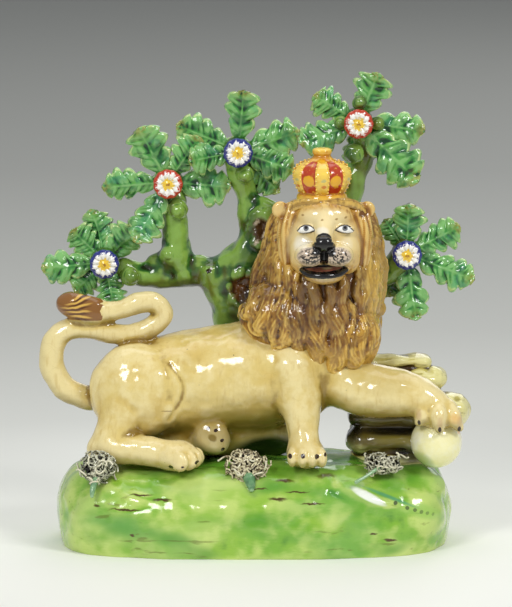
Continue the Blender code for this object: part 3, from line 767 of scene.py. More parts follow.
def make_legs(clay):
    near_shank = [(-44.0, -12.0, 47.0, 8.5), (-47.4, -14.0, 41.0, 6.4), (-49.4, -15.5, 36.5, 5.9)]
    roll(clay, near_shank)
    lump(clay, (-51.8, -15.5, 34.6), (5.0, 4.8, 4.9))
    near_hind_foot = [
        (-50.0, -16.0, 34.8, 5.2),
        (-41.0, -18.0, 35.2, 4.9),
        (-33.0, -20.0, 34.4, 4.9),
        (-28.0, -21.5, 33.4, 5.0),
    ]
    roll(clay, near_hind_foot)
    roll(clay, [(-34.0, 2.0, 36.0, 6.5), (-24.0, -3.0, 35.5, 5.5), (-15.5, -9.0, 36.8, 5.3)])
    lump(clay, (-46.0, 15.0, 35.0), (8.0, 5.5, 6.0))
    roll(clay, [(-46, 17, 33.5, 5.0), (-34, 19, 33, 4.6), (-24, 20, 32.5, 4.8)])
    standing_leg = [
        (12.5, -12.0, 62.0, 9.5),
        (14.5, -15.0, 54.5, 8.2),
        (15.8, -17.5, 48.5, 6.6),
        (16.6, -20.0, 42.5, 5.2),
        (17.2, -22.0, 37.5, 5.0),
    ]
    roll(clay, standing_leg)
    for centre, heading, size in (near_hind_paw, near_fore_paw):
        turn = math.degrees(math.atan2(heading[1], heading[0]))
        lump(clay, centre, (size, size * 0.95, size * 0.7), (0, 0, turn))
    lump(clay, sole_middle, (6.6, 3.6, 5.4), (0, 24, 0))
    lump(clay, (62.5, -17.0, 46.4), (7.6, 4.6, 4.6))
    reaching_leg = [
        (25.0, -6.0, 60.0, 9.8),
        (34.0, -10.0, 55.6, 9.2),
        (41.0, -12.0, 54.0, 9.2),
        (48.0, -13.0, 53.6, 8.4),
        (55.0, -14.0, 52.5, 7.2),
        (61.0, -15.5, 49.0, 6.2),
    ]
    roll(clay, reaching_leg)


def make_feet(clay):
    lump(clay, (-38.0, -9.8, 53.0), (15.2, 10.4, 15.4), (0, 12, 0))
    lump(clay, (-31.8, -10.8, 50.2), (9.8, 8.0, 9.8), (0, 28, 0))
    set_toes(clay, *near_hind_paw)
    set_toes(clay, *near_fore_paw)
    for root, claw in ball_fingers:
        middle = (Vector(root) + Vector(claw)) / 2 + Vector((0, -1.6, 0.3))
        roll(clay, [(*root, 3.2), (*middle, 2.8), (*claw, 1.8)])


def make_tail(clay):
    """A thick roll that doubles back over the rump and ends in a combed tuft."""
    tail = [
        (-50.0, -2.0, 50.5, 4.6),
        (-58.0, -3.0, 50.6, 4.3),
        (-65.2, -4.0, 54.4, 4.2),
        (-69.0, -4.0, 61.3, 4.2),
        (-68.4, -4.0, 68.5, 4.1),
        (-64.0, -4.0, 73.5, 3.9),
        (-56.0, -4.0, 74.2, 3.7),
        (-48.5, -4.0, 72.6, 3.7),
        (-41.5, -3.5, 72.6, 3.6),
        (-35.2, -3.0, 74.6, 3.5),
        (-31.0, -3.0, 79.0, 3.6),
        (-33.6, -3.5, 83.0, 3.5),
        (-39.0, -4.0, 83.2, 3.6),
        (-45.0, -5.0, 81.0, 3.4),
        (-51.0, -5.5, 80.2, 3.6),
    ]
    roll(clay, tail)
    for strand in range(5):
        turn = math.pi * (strand - 2) / 4.4
        rise = 3.1 * math.sin(turn)
        front = -6.4 - 1.6 * math.cos(turn)
        roll(
            clay,
            [
                (-50.0, front + 1.2, 80.3 + rise * 0.7, 1.4),
                (-55.0, front, 80.7 + rise, 2.0),
                (-61.0, front + 0.2, 82.2 + rise, 1.9),
                (-66.0, front + 1.4, 83.4 + rise * 0.35, 1.1),
            ],
        )
    lump(clay, (-57.5, -4.6, 81.4), (8.5, 3.4, 4.6), (0, 8, 0))
    lump(clay, (-62.0, -4.8, 82.8), (5.4, 3.6, 4.4))


def make_lion_body():
    soft = bmesh.new()
    make_trunk_of_lion(soft)
    make_legs(soft)
    figure = press(soft, 0.8, 32)
    write_places(figure, read_places(figure) + 0.4 * read_normals(figure))
    clay = bmesh.new()
    clay.from_mesh(figure)
    make_feet(clay)
    make_tail(clay)
    mesh = press(clay, 0.6, 7)
    unsettle(mesh, 8.0, 0.5)
    unsettle(mesh, 2.5, 0.12)
    score(mesh, [(8, -16.5, 61), (9.5, -19, 54), (12, -20, 47), (12.4, -22, 41)], 1.2, 0.5)
    haunch_front = [(-28.5, 64), (-24.6, 58.6), (-24, 55), (-25.2, 51), (-28.6, 45)]
    score(mesh, [(x, -17, z) for x, z in haunch_front], 0.9, 0.4, through=True)
    mark_undersides(mesh)
    mark_hollows(mesh, (8, 0.3), (100, 1.9))
    return mesh


# Where the painted claws and the pads of the far hind foot lie, in X and Z.
near_hind_claws = [(-28.0, 30.9), (-24.0, 31.4), (-19.1, 32.4)]
near_fore_claws = [(12.1, 34.9), (16.5, 35.1), (21.2, 34.8), (24.3, 35.4)]
toe_pads = [(-15.6, 41.9), (-12.9, 41.3), (-10.8, 37.9), (-10.5, 34.8)]


def paint_lion_body():
    buff = Glaze(
        "buff_body_glaze",
        body=srgb(224, 200, 124),
        thin=srgb(236, 218, 158),
        pooled=srgb(140, 110, 40),
        patch=srgb(216, 188, 108),
        size=12.0,
        specks=0.9,
    )
    dark = srgb(46, 24, 12)
    olive = srgb(140, 116, 44)
    buff.wash(srgb(190, 164, 84), 12.0, (1, 1, 1), 0.50, 0.84, 0.5, 1.7)
    buff.wash(srgb(238, 220, 162), 9.0, (1, 1, 0.7), 0.52, 0.76, 0.5, 3.1)
    buff.wash(srgb(192, 156, 76), 1.6, (1, 1, 0.2), 0.54, 0.74, 0.35, 4.7)
    # Painted shade: olive on the downward-facing surfaces and under the belly.
    buff.lay(ramp_of(buff.tree, buff.number("under"), 0.0, 0.9, 0.0, 0.75), olive)
    buff.touch(olive, (-10, -8, 42), (24, 16, 10.0), soft=0.9, strength=0.75)
    buff.touch(srgb(190, 166, 90), (42, -14, 60), (17, 14, 8.0), turn=-8, soft=0.9, strength=0.5)
    # Painted shade: olive where the reaching leg meets the body and along its underside.
    buff.touch(olive, (22, -10, 52), (8, 9, 14), turn=-15, soft=0.9, strength=0.7)
    buff.touch(olive, (42, -16, 45), (16, 12, 4.0), turn=-4, soft=0.9, strength=0.8)
    # Painted shade: near-black green under the belly and along the bottom of the near hind foot, where
    # they meet the mound.
    buff.touch(srgb(28, 40, 14), (4, -3, 32), (14, 13, 6.6), soft=0.7)
    buff.touch(srgb(30, 50, 20), (-34, -16, 29.4), (18, 9, 1.5), turn=4, soft=0.8, strength=0.8)
    buff.unsteady(1.2, 0.5)
    for x, z in near_hind_claws:
        buff.touch(dark, (x, -28, z), (1.0, 3.5, 0.75), soft=0.4)
    for x, z in near_fore_claws:
        buff.touch(dark, (x, -29.5, z), (0.85, 2.8, 1.0), soft=0.4)
    for _, (x, y, z) in ball_fingers:
        buff.touch(srgb(168, 106, 84), (x, y, z + 2.6), (1.5, 5, 3.0), soft=0.9, strength=0.4)
        buff.touch(dark, (x, y, z), (0.7, 4, 1.25), soft=0.4)
    buff.touch(srgb(232, 170, 74), (67.8, -18, 46.4), (2.6, 7, 3.0), soft=0.9, strength=0.6)
    buff.touch(srgb(134, 112, 44), (-14.0, -16, 38.8), (1.9, 4, 1.5), turn=-30, soft=0.7)
    for x, z in toe_pads:
        buff.touch(dark, (x, -16, z), (0.8, 5, 0.6), turn=30, soft=0.3)
    buff.touch(srgb(110, 72, 30), (-29.5, -18, 48.3), (2.4, 5, 0.3), soft=0.9, strength=0.6)
    tuft = ramp_of(buff.tree, buff.number("tuft"), 0.4, 0.6)
    buff.lay(tuft, srgb(138, 92, 42))
    buff.unsteady(6.0, 2.0)
    for k in (-2, -1, 0, 1, 2):
        spot = (-60 + 0.7 * abs(k), -8, 82.8 + 1.85 * k)
        buff.touch(srgb(222, 178, 84), spot, (6.6 - abs(k), 6, 0.6), turn=10 + 7 * k, soft=0.9)
        below = (spot[0], -8, spot[2] - 0.9)
        buff.touch(srgb(88, 50, 20), below, (6.2 - abs(k), 6, 0.5), turn=10 + 7 * k, soft=0.9)
    return buff.finish()


def mark_tuft(mesh):
    """Marks the brown end of the tail, and lets streaks run along it."""
    tuft = []
    for x, y, z in read_places(mesh):
        wave = 1.6 * noise.noise(Vector((x * 0.3, y * 0.8, z * 1.1)))
        inside = min(-51.5 + wave - x, z - 77.8)
        tuft.append(0.5 + inside if x > -70 else 0)
    mark(mesh, "tuft", np.clip(tuft, 0, 1))


lion_body = make_lion_body()
mark_tuft(lion_body)
fire("lion_body", lion_body, paint_lion_body())


# The head
# Pressed clay, upturned, with the muzzle, brows and ears added, then painted by hand:
# white almond eyes, a black nose and lips, a stippled muzzle and a pale chin.

# Each eye: its middle, its slant in degrees, and how far the iris sits from the middle.
eyes = [
    (Vector((17.4, -20.5, 110.8)), 9, 0.1),
    (Vector((30.7, -20.5, 110.8)), -9, -0.1),
]
muzzle_pads = (Vector((18.8, -23.0, 102.4)), Vector((28.2, -23.0, 102.4)))
nose_tip = Vector((23.4, -26.4, 106.6))
mouth = Vector((23.4, -25.0, 97.5))
# The ears, the near one pale and the other under the hair.
ears = (Vector((8.8, -11.5, 116.2)), Vector((38.2, -10.0, 116.0)))
# The roll of hair beside each cheek: how far to the side, Y, Z and thickness.
head_middle_x = 24
cheek_hair = [
    (11.6, -10.6, 115.4, 3.4),
    (12.6, -11.6, 108, 3.8),
    (12.4, -11.4, 101, 3.4),
    (11.8, -9.6, 95, 2.6),
]


def make_head():
    clay = bmesh.new()
    lump(clay, (24.0, -10.0, 107.5), (13.0, 11.0, 12.6))
    lump(clay, (24.0, -12.0, 114.2), (10.8, 8.4, 6.4))
    for side in (-1, 1):
        lump(clay, (24.0 + side * 6.6, -13.8, 103.0), (6.0, 6.6, 8.6), (0, side * -8, 0))
    roll(clay, [(24.0, -15.5, 116.0, 4.2), (23.8, -18.6, 112.4, 3.8), (23.5, -23.2, 108.4, 3.2)])
    for pad in muzzle_pads:
        lump(clay, pad, (5.4, 5.2, 4.0))
    lump(clay, (23.6, -17.0, 95.6), (7.2, 6.2, 4.2))
    for side in (-1, 1):
        roll(clay, [(head_middle_x + side * x, y, z, thick) for x, y, z, thick in cheek_hair])
    base = press(clay, 0.4, 16)
    clay = bmesh.new()
    clay.from_mesh(base)
    for ear in ears:
        lump(clay, ear, (2.8, 1.8, 2.9), (0, 25, 0))
        roll(clay, [(24, -9, 110, 3.0), (*ear.lerp(Vector((24, -9, 110)), 0.4), 2.6), (*ear, 1.6)])
    lump(clay, nose_tip, (3.4, 2.4, 2.8))
    lower_lip = [
        (15.6, -18.8, 96.8, 0.7),
        (18.4, -22.4, 95.6, 1.1),
        (23.4, -24.0, 95.3, 1.3),
        (28.2, -22.4, 95.6, 1.1),
        (31.6, -18.8, 97.0, 0.7),
    ]
    roll(clay, lower_lip)
    for eye, _, _ in eyes:
        lump(clay, eye + Vector((0, 0.7, 0)), (3.2, 1.4, 1.5))
    mesh = press(clay, 0.32, 5)
    dent(mesh, mouth + Vector((0, 0, 0.2)), (7.4, 6, 0.7), 2.2)
    dent(mesh, (23.5, -27, 101.8), (0.75, 6, 3.0), 1.1)
    for side in (-1, 1):
        dent(mesh, nose_tip + Vector((side * 1.7, 0, -1.6)), (0.8, 4, 0.7), 0.9)
    for ear in ears:
        dent(mesh, ear + Vector((0, -3, -0.4)), (1.8, 4, 2.1), 1.1)
    for eye, slant, _ in eyes:
        for lid, lift in ((1, 1.9), (-1, 1.2)):
            rim = []
            for x in (-3.5, -1.8, 0, 1.8, 3.5):
                z = lid * lift * (1 - (x / 3.6) ** 2) + x * math.sin(math.radians(slant))
                rim.append((eye.x + x, -21.4 + 0.02 * (eye.x + x - 24) ** 2, eye.z + z))
            score(mesh, rim, 0.45, -0.22)
    for side in (-1, 1):
        for k in range(4):
            line = []
            for x, spacing, z in ((9.0, 1.7, 118.4), (12.0, 1.2, 111), (12.2, 1.3, 103), (11.4, 1.5, 96)):
                out = x + spacing * k + 0.8 * math.sin(z + 2 * k)
                line.append((head_middle_x + side * out, -12, z))
            score(mesh, line, 0.6, 0.35, through=True)
    mark_hollows(mesh, (6, 0.12), (60, 0.9))
    return mesh


def paint_head():
    face = Glaze(
        "painted_face_glaze",
        body=srgb(204, 156, 70),
        thin=srgb(226, 190, 112),
        pooled=srgb(140, 92, 34),
        patch=srgb(190, 138, 56),
        size=5.0,
        specks=0.3,
    )
    pale = srgb(236, 212, 150)
    white = srgb(246, 240, 222)
    black = srgb(18, 15, 15)
    face.unsteady(2.5, 1.4)
    face.wash(srgb(150, 100, 42), 1.3, (1, 1, 0.3), 0.5, 0.7, 0.7, 2.2)
    face.touch(pale, (23.3, -20, 105.8), (14.8, 20, 12.8), soft=0.6)
    face.touch(srgb(244, 224, 170), (23.6, -20, 114.6), (9.6, 12, 4.0), soft=0.9, strength=0.8)
    face.touch(white, (16.4, -20, 105.4), (3.8, 9, 3.8), soft=0.9, strength=0.8)
    face.touch(white, (23.2, -22, 110.2), (2.6, 8, 2.4), soft=0.9, strength=0.8)
    face.touch(white, (31.2, -20, 105.8), (2.6, 9, 3.0), soft=0.9, strength=0.3)
    face.touch(white, (23.6, -23, 94.0), (6.0, 9, 1.4), bow=0.1, soft=0.95, strength=0.4)
    face.touch(srgb(232, 200, 128), ears[0] + Vector((-0.4, -3, 0.2)), (3.0, 5, 2.8), soft=0.8)
    face.touch(srgb(112, 70, 30), ears[1] + Vector((-1.2, -3, -0.6)), (1.6, 5, 2.4), turn=-50, soft=0.7)
    face.unsteady(0.9, 0.35)
    for pad in muzzle_pads:
        grey = srgb(204, 184, 166)
        face.touch(grey, pad + Vector((0, -3, -0.2)), (5.0, 9, 3.7), soft=0.4, strength=0.9)
    stipple = noise_of(face.tree, face.place, 1100.0, 3.0)
    plain = face.colour
    for pad in muzzle_pads:
        face.touch(black, pad + Vector((0, -3, 0)), (4.9, 9, 3.7), soft=0.8)
    face.colour = blend(face.tree, ramp_of(face.tree, stipple, 0.45, 0.55), plain, face.colour)
    face.touch(black, (23.4, -26, 107.8), (2.9, 7, 2.6), soft=0.2)
    face.touch(black, (23.4, -26, 105.5), (4.2, 7, 2.9), bow=0.15, soft=0.25)
    face.touch(black, (23.5, -26, 102.2), (1.6, 9, 5.0), soft=0.3)
    for side in (-1, 1):
        face.touch(black, (23.4 + side * 2.6, -26, 103.8), (2.0, 9, 1.8), soft=0.9, strength=0.95)
    face.touch(black, (23.5, -25, 96.7), (9.9, 12, 2.2), turn=1, bow=0.05, point=3, soft=0.15)
    rose = srgb(182, 112, 88)
    face.touch(rose, (23.5, -25, 97.3), (7.8, 12, 0.66), turn=2, bow=0.1, point=1.6, soft=0.3)
    # Painted highlight: a pale gleam on the pink inside of the mouth.
    face.touch(srgb(222, 196, 140), (24.6, -25, 97.5), (2.4, 12, 0.36), turn=2.5, soft=0.8)
    for eye, slant, look in eyes:
        face.touch(srgb(50, 40, 34), eye, (3.6, 4, 1.75), turn=slant, bow=-0.5, point=1.15, soft=0.12)
        face.touch(srgb(248, 248, 244), eye, (3.15, 4, 1.3), turn=slant, bow=-0.5, point=1.15)
        face.touch(srgb(112, 114, 118), eye + Vector((look, 0, 0.4)), (1.0, 4, 1.05), soft=0.3)
        face.touch(srgb(26, 24, 26), eye + Vector((look, 0, 0.65)), (0.55, 4, 0.55), soft=0.3)
    for x, z in ((11.9, 114.8), (13.8, 113.7), (16.4, 115.2), (22.9, 114.1), (27.7, 114.1), (30.9, 114.5)):
        face.touch(srgb(150, 116, 60), (x, -19, z), (0.7, 9, 0.45), turn=20, soft=0.9, strength=0.8)
    return face.finish(bump=0.2)


fire("head", make_head(), paint_head())


# The mane
# Rolls of clay laid on the neck and chest and combed into long waving locks that curl at
# their ends, under ochre glaze that goes brown-black between the locks.

mane_middle = Vector((23.0, -1.0, 90.0))
mane_swells = [
    (Vector((23.0, -2.0, 90.0)), Vector((19.5, 14.0, 27.0))),
    (Vector((23.6, -1.0, 107.0)), Vector((18.5, 11.0, 12.5))),
    (Vector((11.0, -5.5, 77.0)), Vector((17.0, 13.5, 13.5))),
    (Vector((29.6, -6.0, 69.6)), Vector((14.5, 12.5, 13.6))),
    (Vector((24.0, -7.0, 78.0)), Vector((12.0, 12.0, 20.0))),
    (Vector((23.6, -7.0, 89.0)), Vector((12.5, 12.0, 11.0))),
]

# Where a lock leaves the brow, the two places it swings past, and where it ends, as
# (X, Z), from the leftmost lock round under the chin to the rightmost.
lock_roots = [(19, 119.5), (10.5, 110), (12.5, 98), (24, 93), (35.5, 98), (37.5, 110), (29, 119.5)]
lock_swings = [(-1, 117), (4, 104), (9, 92), (22, 84), (39, 90), (42.5, 104), (44.5, 117)]
lock_falls = [(6, 92), (7, 86), (13, 78), (24, 72), (35, 78), (41, 88), (42.5, 95)]
lock_ends = [(-6, 78.5), (2.5, 69), (14.5, 61.6), (26, 55.4), (37, 60.8), (43, 70), (44, 85)]


def along_list(places, share):
    """The place at a share of the way along a list of (X, Z) places, run smoothly."""
    line = spline([(x, 0, z, 0) for x, z in places], 8)
    spot = min(max(share, 0), 0.9999) * (len(line) - 1)
    low = int(spot)
    return line[low].lerp(line[low + 1], spot - low)


def mane_depth(x, z):
    """How far forward the swells reach at a place on the mane."""
    deepest = 1.0
    for middle, half in mane_swells:
        inside = 1 - ((x - middle.x) / half.x) ** 2 - ((z - middle.z) / half.z) ** 2
        if inside > 0:
            deepest = max(deepest, half.y * math.sqrt(inside) - middle.y + mane_middle.y)
    return deepest


def lock_place(across, t):
    """The (X, Z) of a lock at t of the way down from the brow."""
    root = along_list(lock_roots, across)
    swing = along_list(lock_swings, across)
    fall = along_list(lock_falls, across)
    end = along_list(lock_ends, across)
    early = root.lerp(swing, t).lerp(swing.lerp(fall, t), t)
    late = swing.lerp(fall, t).lerp(fall.lerp(end, t), t)
    spot = early.lerp(late, t)
    return spot.x, spot.z


def make_mane_mass(clay):
    """The smooth mass of hair that the locks lie on."""
    columns = 40
    rows = 16
    grid = []
    for column in range(columns + 1):
        line = []
        for row in range(rows + 1):
            x, z = lock_place(column / columns, row / rows)
            line.append(Vector((x, mane_middle.y - mane_depth(x, z) + 1.2, z)))
        grid.append(line)
    verts = [[clay.verts.new(point) for point in line] for line in grid]
    for left, right in zip(verts, verts[1:]):
        for row in range(rows):
            clay.faces.new((left[row], left[row + 1], right[row + 1], right[row]))
    under_face = clay.verts.new((24, -11, 106))
    roots = [line[0] for line in verts]
    for k in range(columns):
        clay.faces.new((roots[k], roots[k + 1], under_face))
    clay.faces.new((roots[-1], roots[0], under_face))
    rim = verts[0][::-1] + verts[-1] + [line[-1] for line in verts[-2:0:-1]]
    middle = Vector((22, 0, 92))
    outer = rim
    for share, depth in ((1.0, 3.5), (0.95, 6.5), (0.8, 9.0), (0.5, 10.5)):
        inner = []
        for point in rim:
            spot = middle.lerp(point.co, share)
            deep = max(point.co.y + 3, mane_middle.y + depth)
            inner.append(clay.verts.new((spot.x, deep, spot.z)))
        for k in range(len(rim)):
            n = (k + 1) % len(rim)
            clay.faces.new((outer[k], outer[n], inner[n], inner[k]))
        outer = inner
    nape = clay.verts.new((22, mane_middle.y + 12, 92))
    for k in range(len(rim)):
        clay.faces.new((outer[k], outer[(k + 1) % len(rim)], nape))


def start_tree(name, inputs):
    """A Geometry Nodes tree with inputs of a name and kind each, that puts out one shape."""
    tree = bpy.data.node_groups.new(name, "GeometryNodeTree")
    for label, kind in inputs:
        tree.interface.new_socket(label, in_out="INPUT", socket_type="NodeSocket" + kind)
    tree.interface.new_socket("Shape", in_out="OUTPUT", socket_type="NodeSocketGeometry")
    return tree, add_node(tree, "NodeGroupInput").outputs


def end_tree(tree, shape, glaze):
    """Makes the shape real, gives it its glaze and puts it out."""
    real = add_node(tree, "GeometryNodeRealizeInstances", {0: shape}).outputs[0]
    feeds = {"Geometry": real, "Material": glaze}
    glazed = add_node(tree, "GeometryNodeSetMaterial", feeds).outputs[0]
    tree.links.new(glazed, add_node(tree, "NodeGroupOutput").inputs[0])
    return tree


def make_lock_tree():
    """Turns lines into locks: tapering, twisting rolls with the grooves of the comb."""
    inputs = [("Lines", "Geometry"), ("Strands", "Int"), ("Groove", "Float"), ("Glaze", "Material")]
    tree, given = start_tree("combed_locks", inputs)
    thick = add_node(tree, "GeometryNodeInputNamedAttribute", {0: "thick"}, data_type="FLOAT")
    twist = add_node(tree, "GeometryNodeInputNamedAttribute", {0: "twist"}, data_type="FLOAT")
    valley = sum_of(tree, 1.0, given["Groove"], "SUBTRACT")
    feeds = {"Points": given["Strands"], "Inner Radius": valley, "Outer Radius": 1.0}
    comb = add_node(tree, "GeometryNodeCurveStar", feeds).outputs[0]
    lines = add_node(tree, "GeometryNodeMeshToCurve", {0: given["Lines"]}).outputs[0]
    feeds = {"Curve": lines, "Tilt": twist.outputs[0]}
    twisted = add_node(tree, "GeometryNodeSetCurveTilt", feeds).outputs[0]
    feeds = {"Curve": twisted, "Profile Curve": comb, "Scale": thick.outputs[0], "Fill Caps": True}
    locks = add_node(tree, "GeometryNodeCurveToMesh", feeds).outputs[0]
    return end_tree(tree, locks, given["Glaze"])


def run_tree(name, thing, tree, inputs):
    """Runs a Geometry Nodes tree on an object, and gives the result as a plain mesh."""
    bpy.context.scene.collection.objects.link(thing)
    grown = thing.modifiers.new(name, "NODES")
    grown.node_group = tree
    for item in tree.interface.items_tree:
        if item.in_out == "INPUT" and item.name in inputs:
            grown[item.identifier] = inputs[item.name]
    graph = bpy.context.evaluated_depsgraph_get()
    mesh = bpy.data.meshes.new_from_object(thing.evaluated_get(graph))
    thing.modifiers.clear()
    bpy.data.objects.remove(thing)
    return mesh


def hang_lock(across, start, end, thick, lift, curl, chance):
    """One lock over the front, as (place, thickness, twist) from its root to its tip."""
    count = 30
    hanging = 0.72
    curling = 0.28
    phase = chance.uniform(0, 2 * math.pi)
    waves = chance.uniform(1.0, 1.7) * (end - start) / 0.5
    sway = chance.uniform(0.5, 1.0)
    hand = 1 if across < 0.3 else -1 if across > 0.6 else chance.choice((-1, 1))
    curl_size = curl * chance.uniform(0.8, 1.2)
    points = []
    for k in range(count):
        share = k / (count - 1)
        body = min(share, hanging) if curl else share
        t = start + (end - start) * body
        here = Vector(lock_place(across, t))
        ahead = (Vector(lock_place(across, t + 0.02)) - here).normalized()
        side = Vector((-ahead.y, ahead.x))
        spot = here + side * sway * math.sin(phase + 2 * math.pi * waves * body)
        if share > body:
            turn = (share - body) / curling * 4.2
            spot += curl_size * (ahead * math.sin(turn) + side * hand * (1 - math.cos(turn)))
        y = mane_middle.y - mane_depth(spot.x, spot.y) - lift * (0.5 + 0.5 * share)
        width = thick * min(0.55 + 2.2 * share, 1) * min(1, 0.3 + 2.2 * (1 - share))
        points.append((Vector((spot.x, y, spot.y)), width, 2.4 * hand * share))
    return points


def hang_plain_lock(stations, thick, twist=1.5):
    """A lock along given places, with a thin root and tip."""
    line = spline([(*station, 0) for station in stations], 7)
    last = len(line) - 1
    points = []
    for k, spot in enumerate(line):
        share = k / last
        width = thick * min(0.4 + 2.5 * share, 1) * min(1, 0.3 + 2.5 * (1 - share))
        points.append((spot.xyz, width, twist * share))
    return points


def comb_back(mass):
    """Broad plain locks down the back of the mane."""
    hair = BVHTree.FromBMesh(mass)
    locks = []
    for order in range(11):
        spread = (order - 5) / 5
        stations = []
        for step in range(7):
            t = step / 6
            x = 23 + spread * (9 + 15 * math.sin(1.9 * t)) + 0.8 * math.sin(5 * t + order)
            z = 117 - (43 - 9 * spread * spread) * t
            found = hair.ray_cast(Vector((x, 60, z)), Vector((0, -1, 0)))[0]
            if found:
                stations.append((x, found.y - 0.2, z))
        if len(stations) > 2:
            locks.append(hang_plain_lock(stations, 2.0))
    return locks


# The fringe round the brow, swept from the middle of the forehead to each side.
fringe = [
    [(23, -17.6, 119), (18, -16.8, 119), (13.4, -14.2, 117.4), (11.6, -11.6, 113), (10.8, -11, 107)],
    [(23, -17.9, 118.4), (24.2, -18.6, 117.2), (23.6, -19.2, 116.2)],
    [(24, -17.6, 119), (30, -16.8, 119.2), (35, -14.0, 117.6), (38.0, -11, 113), (38.8, -10.6, 106)],
]
# Curls coiled flat on the hanging locks: where, how wide, and which way they turn.
curls = [
    ((1.8, 77.0), 3.3, 1),
    ((-2.6, 81.0), 2.0, 1),
    ((8.4, 71.2), 2.9, -1),
    ((14.6, 69.0), 2.7, 1),
    ((20.0, 64.8), 2.7, -1),
    ((27.2, 62.4), 2.8, 1),
    ((34.2, 67.4), 2.8, -1),
    ((39.8, 71.8), 2.6, 1),
    ((42.0, 80.6), 2.3, -1),
    ((36.2, 77.4), 2.2, 1),
    ((11.8, 80.8), 2.3, -1),
    ((5.6, 86.6), 2.0, 1),
    ((21.4, 74.6), 2.2, 1),
    ((29.4, 73.4), 2.0, -1),
    ((40.6, 92.0), 2.0, 1),
]


def set_curl(middle, size, hand):
    """A small coil that rises to its middle."""
    count = 28
    points = []
    for k in range(count):
        share = k / (count - 1)
        angle = math.pi * (0.5 + hand * 3.2 * share)
        reach = size * (1 - 0.72 * share)
        x = middle[0] + reach * math.cos(angle)
        z = middle[1] + reach * math.sin(angle)
        y = 0.2 - mane_depth(x, z) - 1.9 * share
        points.append((Vector((x, y, z)), 1.25 - 0.35 * share, 2.0 * share))
    return points


def comb_mane(mass):
    """Three layers of locks from the chest up, then the fringe, the curls and the back."""
    chance = random.Random(11)
    locks = []
    layers = [
        (20, 0.56, 0.99, 2.6, -0.8, 1.6),
        (21, 0.30, 0.86, 2.5, -0.2, 1.6),
        (20, 0.00, 0.62, 2.2, 0.2, 0.0),
    ]
    for count, start, end, thick, lift, curl in layers:
        for order in range(count):
            across = (order + 0.5 + chance.uniform(-0.3, 0.3)) / count
            first = start + chance.uniform(-0.03, 0.06)
            last = end + chance.uniform(-0.10, 0.02)
            size = thick * chance.uniform(0.8, 1.15)
            locks.append(hang_lock(across, first, last, size, lift, curl, chance))
    for stations in fringe:
        for shift in (-1.0, 0.0, 1.0):
            moved = [(x, y + 0.5 + 0.3 * abs(shift), z + shift) for x, y, z in stations]
            locks.append(hang_plain_lock(moved, 0.75, 3.0))
    locks += [set_curl(*curl) for curl in curls]
    return locks + comb_back(mass)


def draw_lines(name, locks):
    """The locks as lines of points that keep their thickness and twist."""
    places = []
    edges = []
    for lock in locks:
        first = len(places)
        places += [place for place, _, _ in lock]
        edges += [(k, k + 1) for k in range(first, len(places) - 1)]
    lines = bpy.data.meshes.new(name)
    lines.from_pydata(places, edges, [])
    mark(lines, "thick", [thick for lock in locks for _, thick, _ in lock])
    mark(lines, "twist", [twist for lock in locks for _, _, twist in lock])
    return bpy.data.objects.new(name, lines)


def make_mane(material):
    mass = bmesh.new()
    make_mane_mass(mass)
    locks = comb_mane(mass)
    inputs = {"Strands": 11, "Groove": 0.22, "Glaze": material}
    rolls = run_tree("locks", draw_lines("locks", locks), make_lock_tree(), inputs)
    mass.from_mesh(rolls)
    mesh = press(mass, 0.43, 0)
    mark_hollows(mesh, (5, 0.25), (60, 1.6))
    finder = KDTree(sum(len(lock) for lock in locks))
    chance = random.Random(3)
    shades = []
    for lock in locks:
        shade = chance.random()
        for place, _, _ in lock:
            finder.insert(place, len(shades))
            shades.append(shade)
    finder.balance()
    mark(mesh, "shade", [shades[finder.find(place)[1]] for place in read_places(mesh)])
    return mesh


def paint_mane():
    ochre = Glaze(
        "ochre_mane_glaze",
        body=srgb(188, 142, 54),
        thin=srgb(222, 182, 90),
        pooled=srgb(66, 38, 16),
        patch=srgb(146, 98, 36),
        size=5.0,
        specks=0.2,
    )
    fall = (1, 1, 0.3)
    dark_lock = ramp_of(ochre.tree, ochre.number("shade"), 0.5, 0.9, 0.0, 0.55)
    ochre.lay(dark_lock, srgb(112, 70, 30))
    ochre.wash(srgb(100, 62, 28), 2.0, fall, 0.50, 0.66, 0.6, 1.9)
    ochre.wash(srgb(58, 32, 22), 4.5, fall, 0.55, 0.70, 0.75, 3.3)
    ochre.wash(srgb(234, 198, 108), 2.4, fall, 0.55, 0.70, 0.55, 5.1)
    ochre.touch(srgb(70, 42, 30), (19, -18, 83), (10, 14, 10), soft=0.9, strength=0.5)
    ochre.touch(srgb(96, 60, 30), (2, -10, 92), (8, 14, 16), soft=0.9, strength=0.4)
    ochre.touch(srgb(96, 62, 30), (23, -20, 90), (13, 16, 5), soft=0.9, strength=0.6)
    ochre.touch(srgb(232, 194, 92), (42, -6, 88), (8, 14, 22), soft=0.9, strength=0.4)
    ochre.touch(srgb(222, 178, 76), (24, -14, 66), (24, 14, 6), soft=0.9, strength=0.35)
    return ochre.finish()


ochre_mane = paint_mane()
fire("mane", make_mane(ochre_mane), ochre_mane)


# The crown
# A moulded cap of six swelling ribs between sunken panels, on a plain band, with a knob.
# The ribs are yellow with beaded edges and the panels are iron red with yellow blobs.

crown_middle = Vector((23.0, -7.0, 0.0))
crown_ribs = 6


def crown_side(rib, beside=0.0):
    """The way out from the crown's middle to a rib, or to an angle beside it."""
    angle = 2 * math.pi * rib / crown_ribs - math.pi / 2 + beside
    return Vector((math.cos(angle), math.sin(angle), 0))


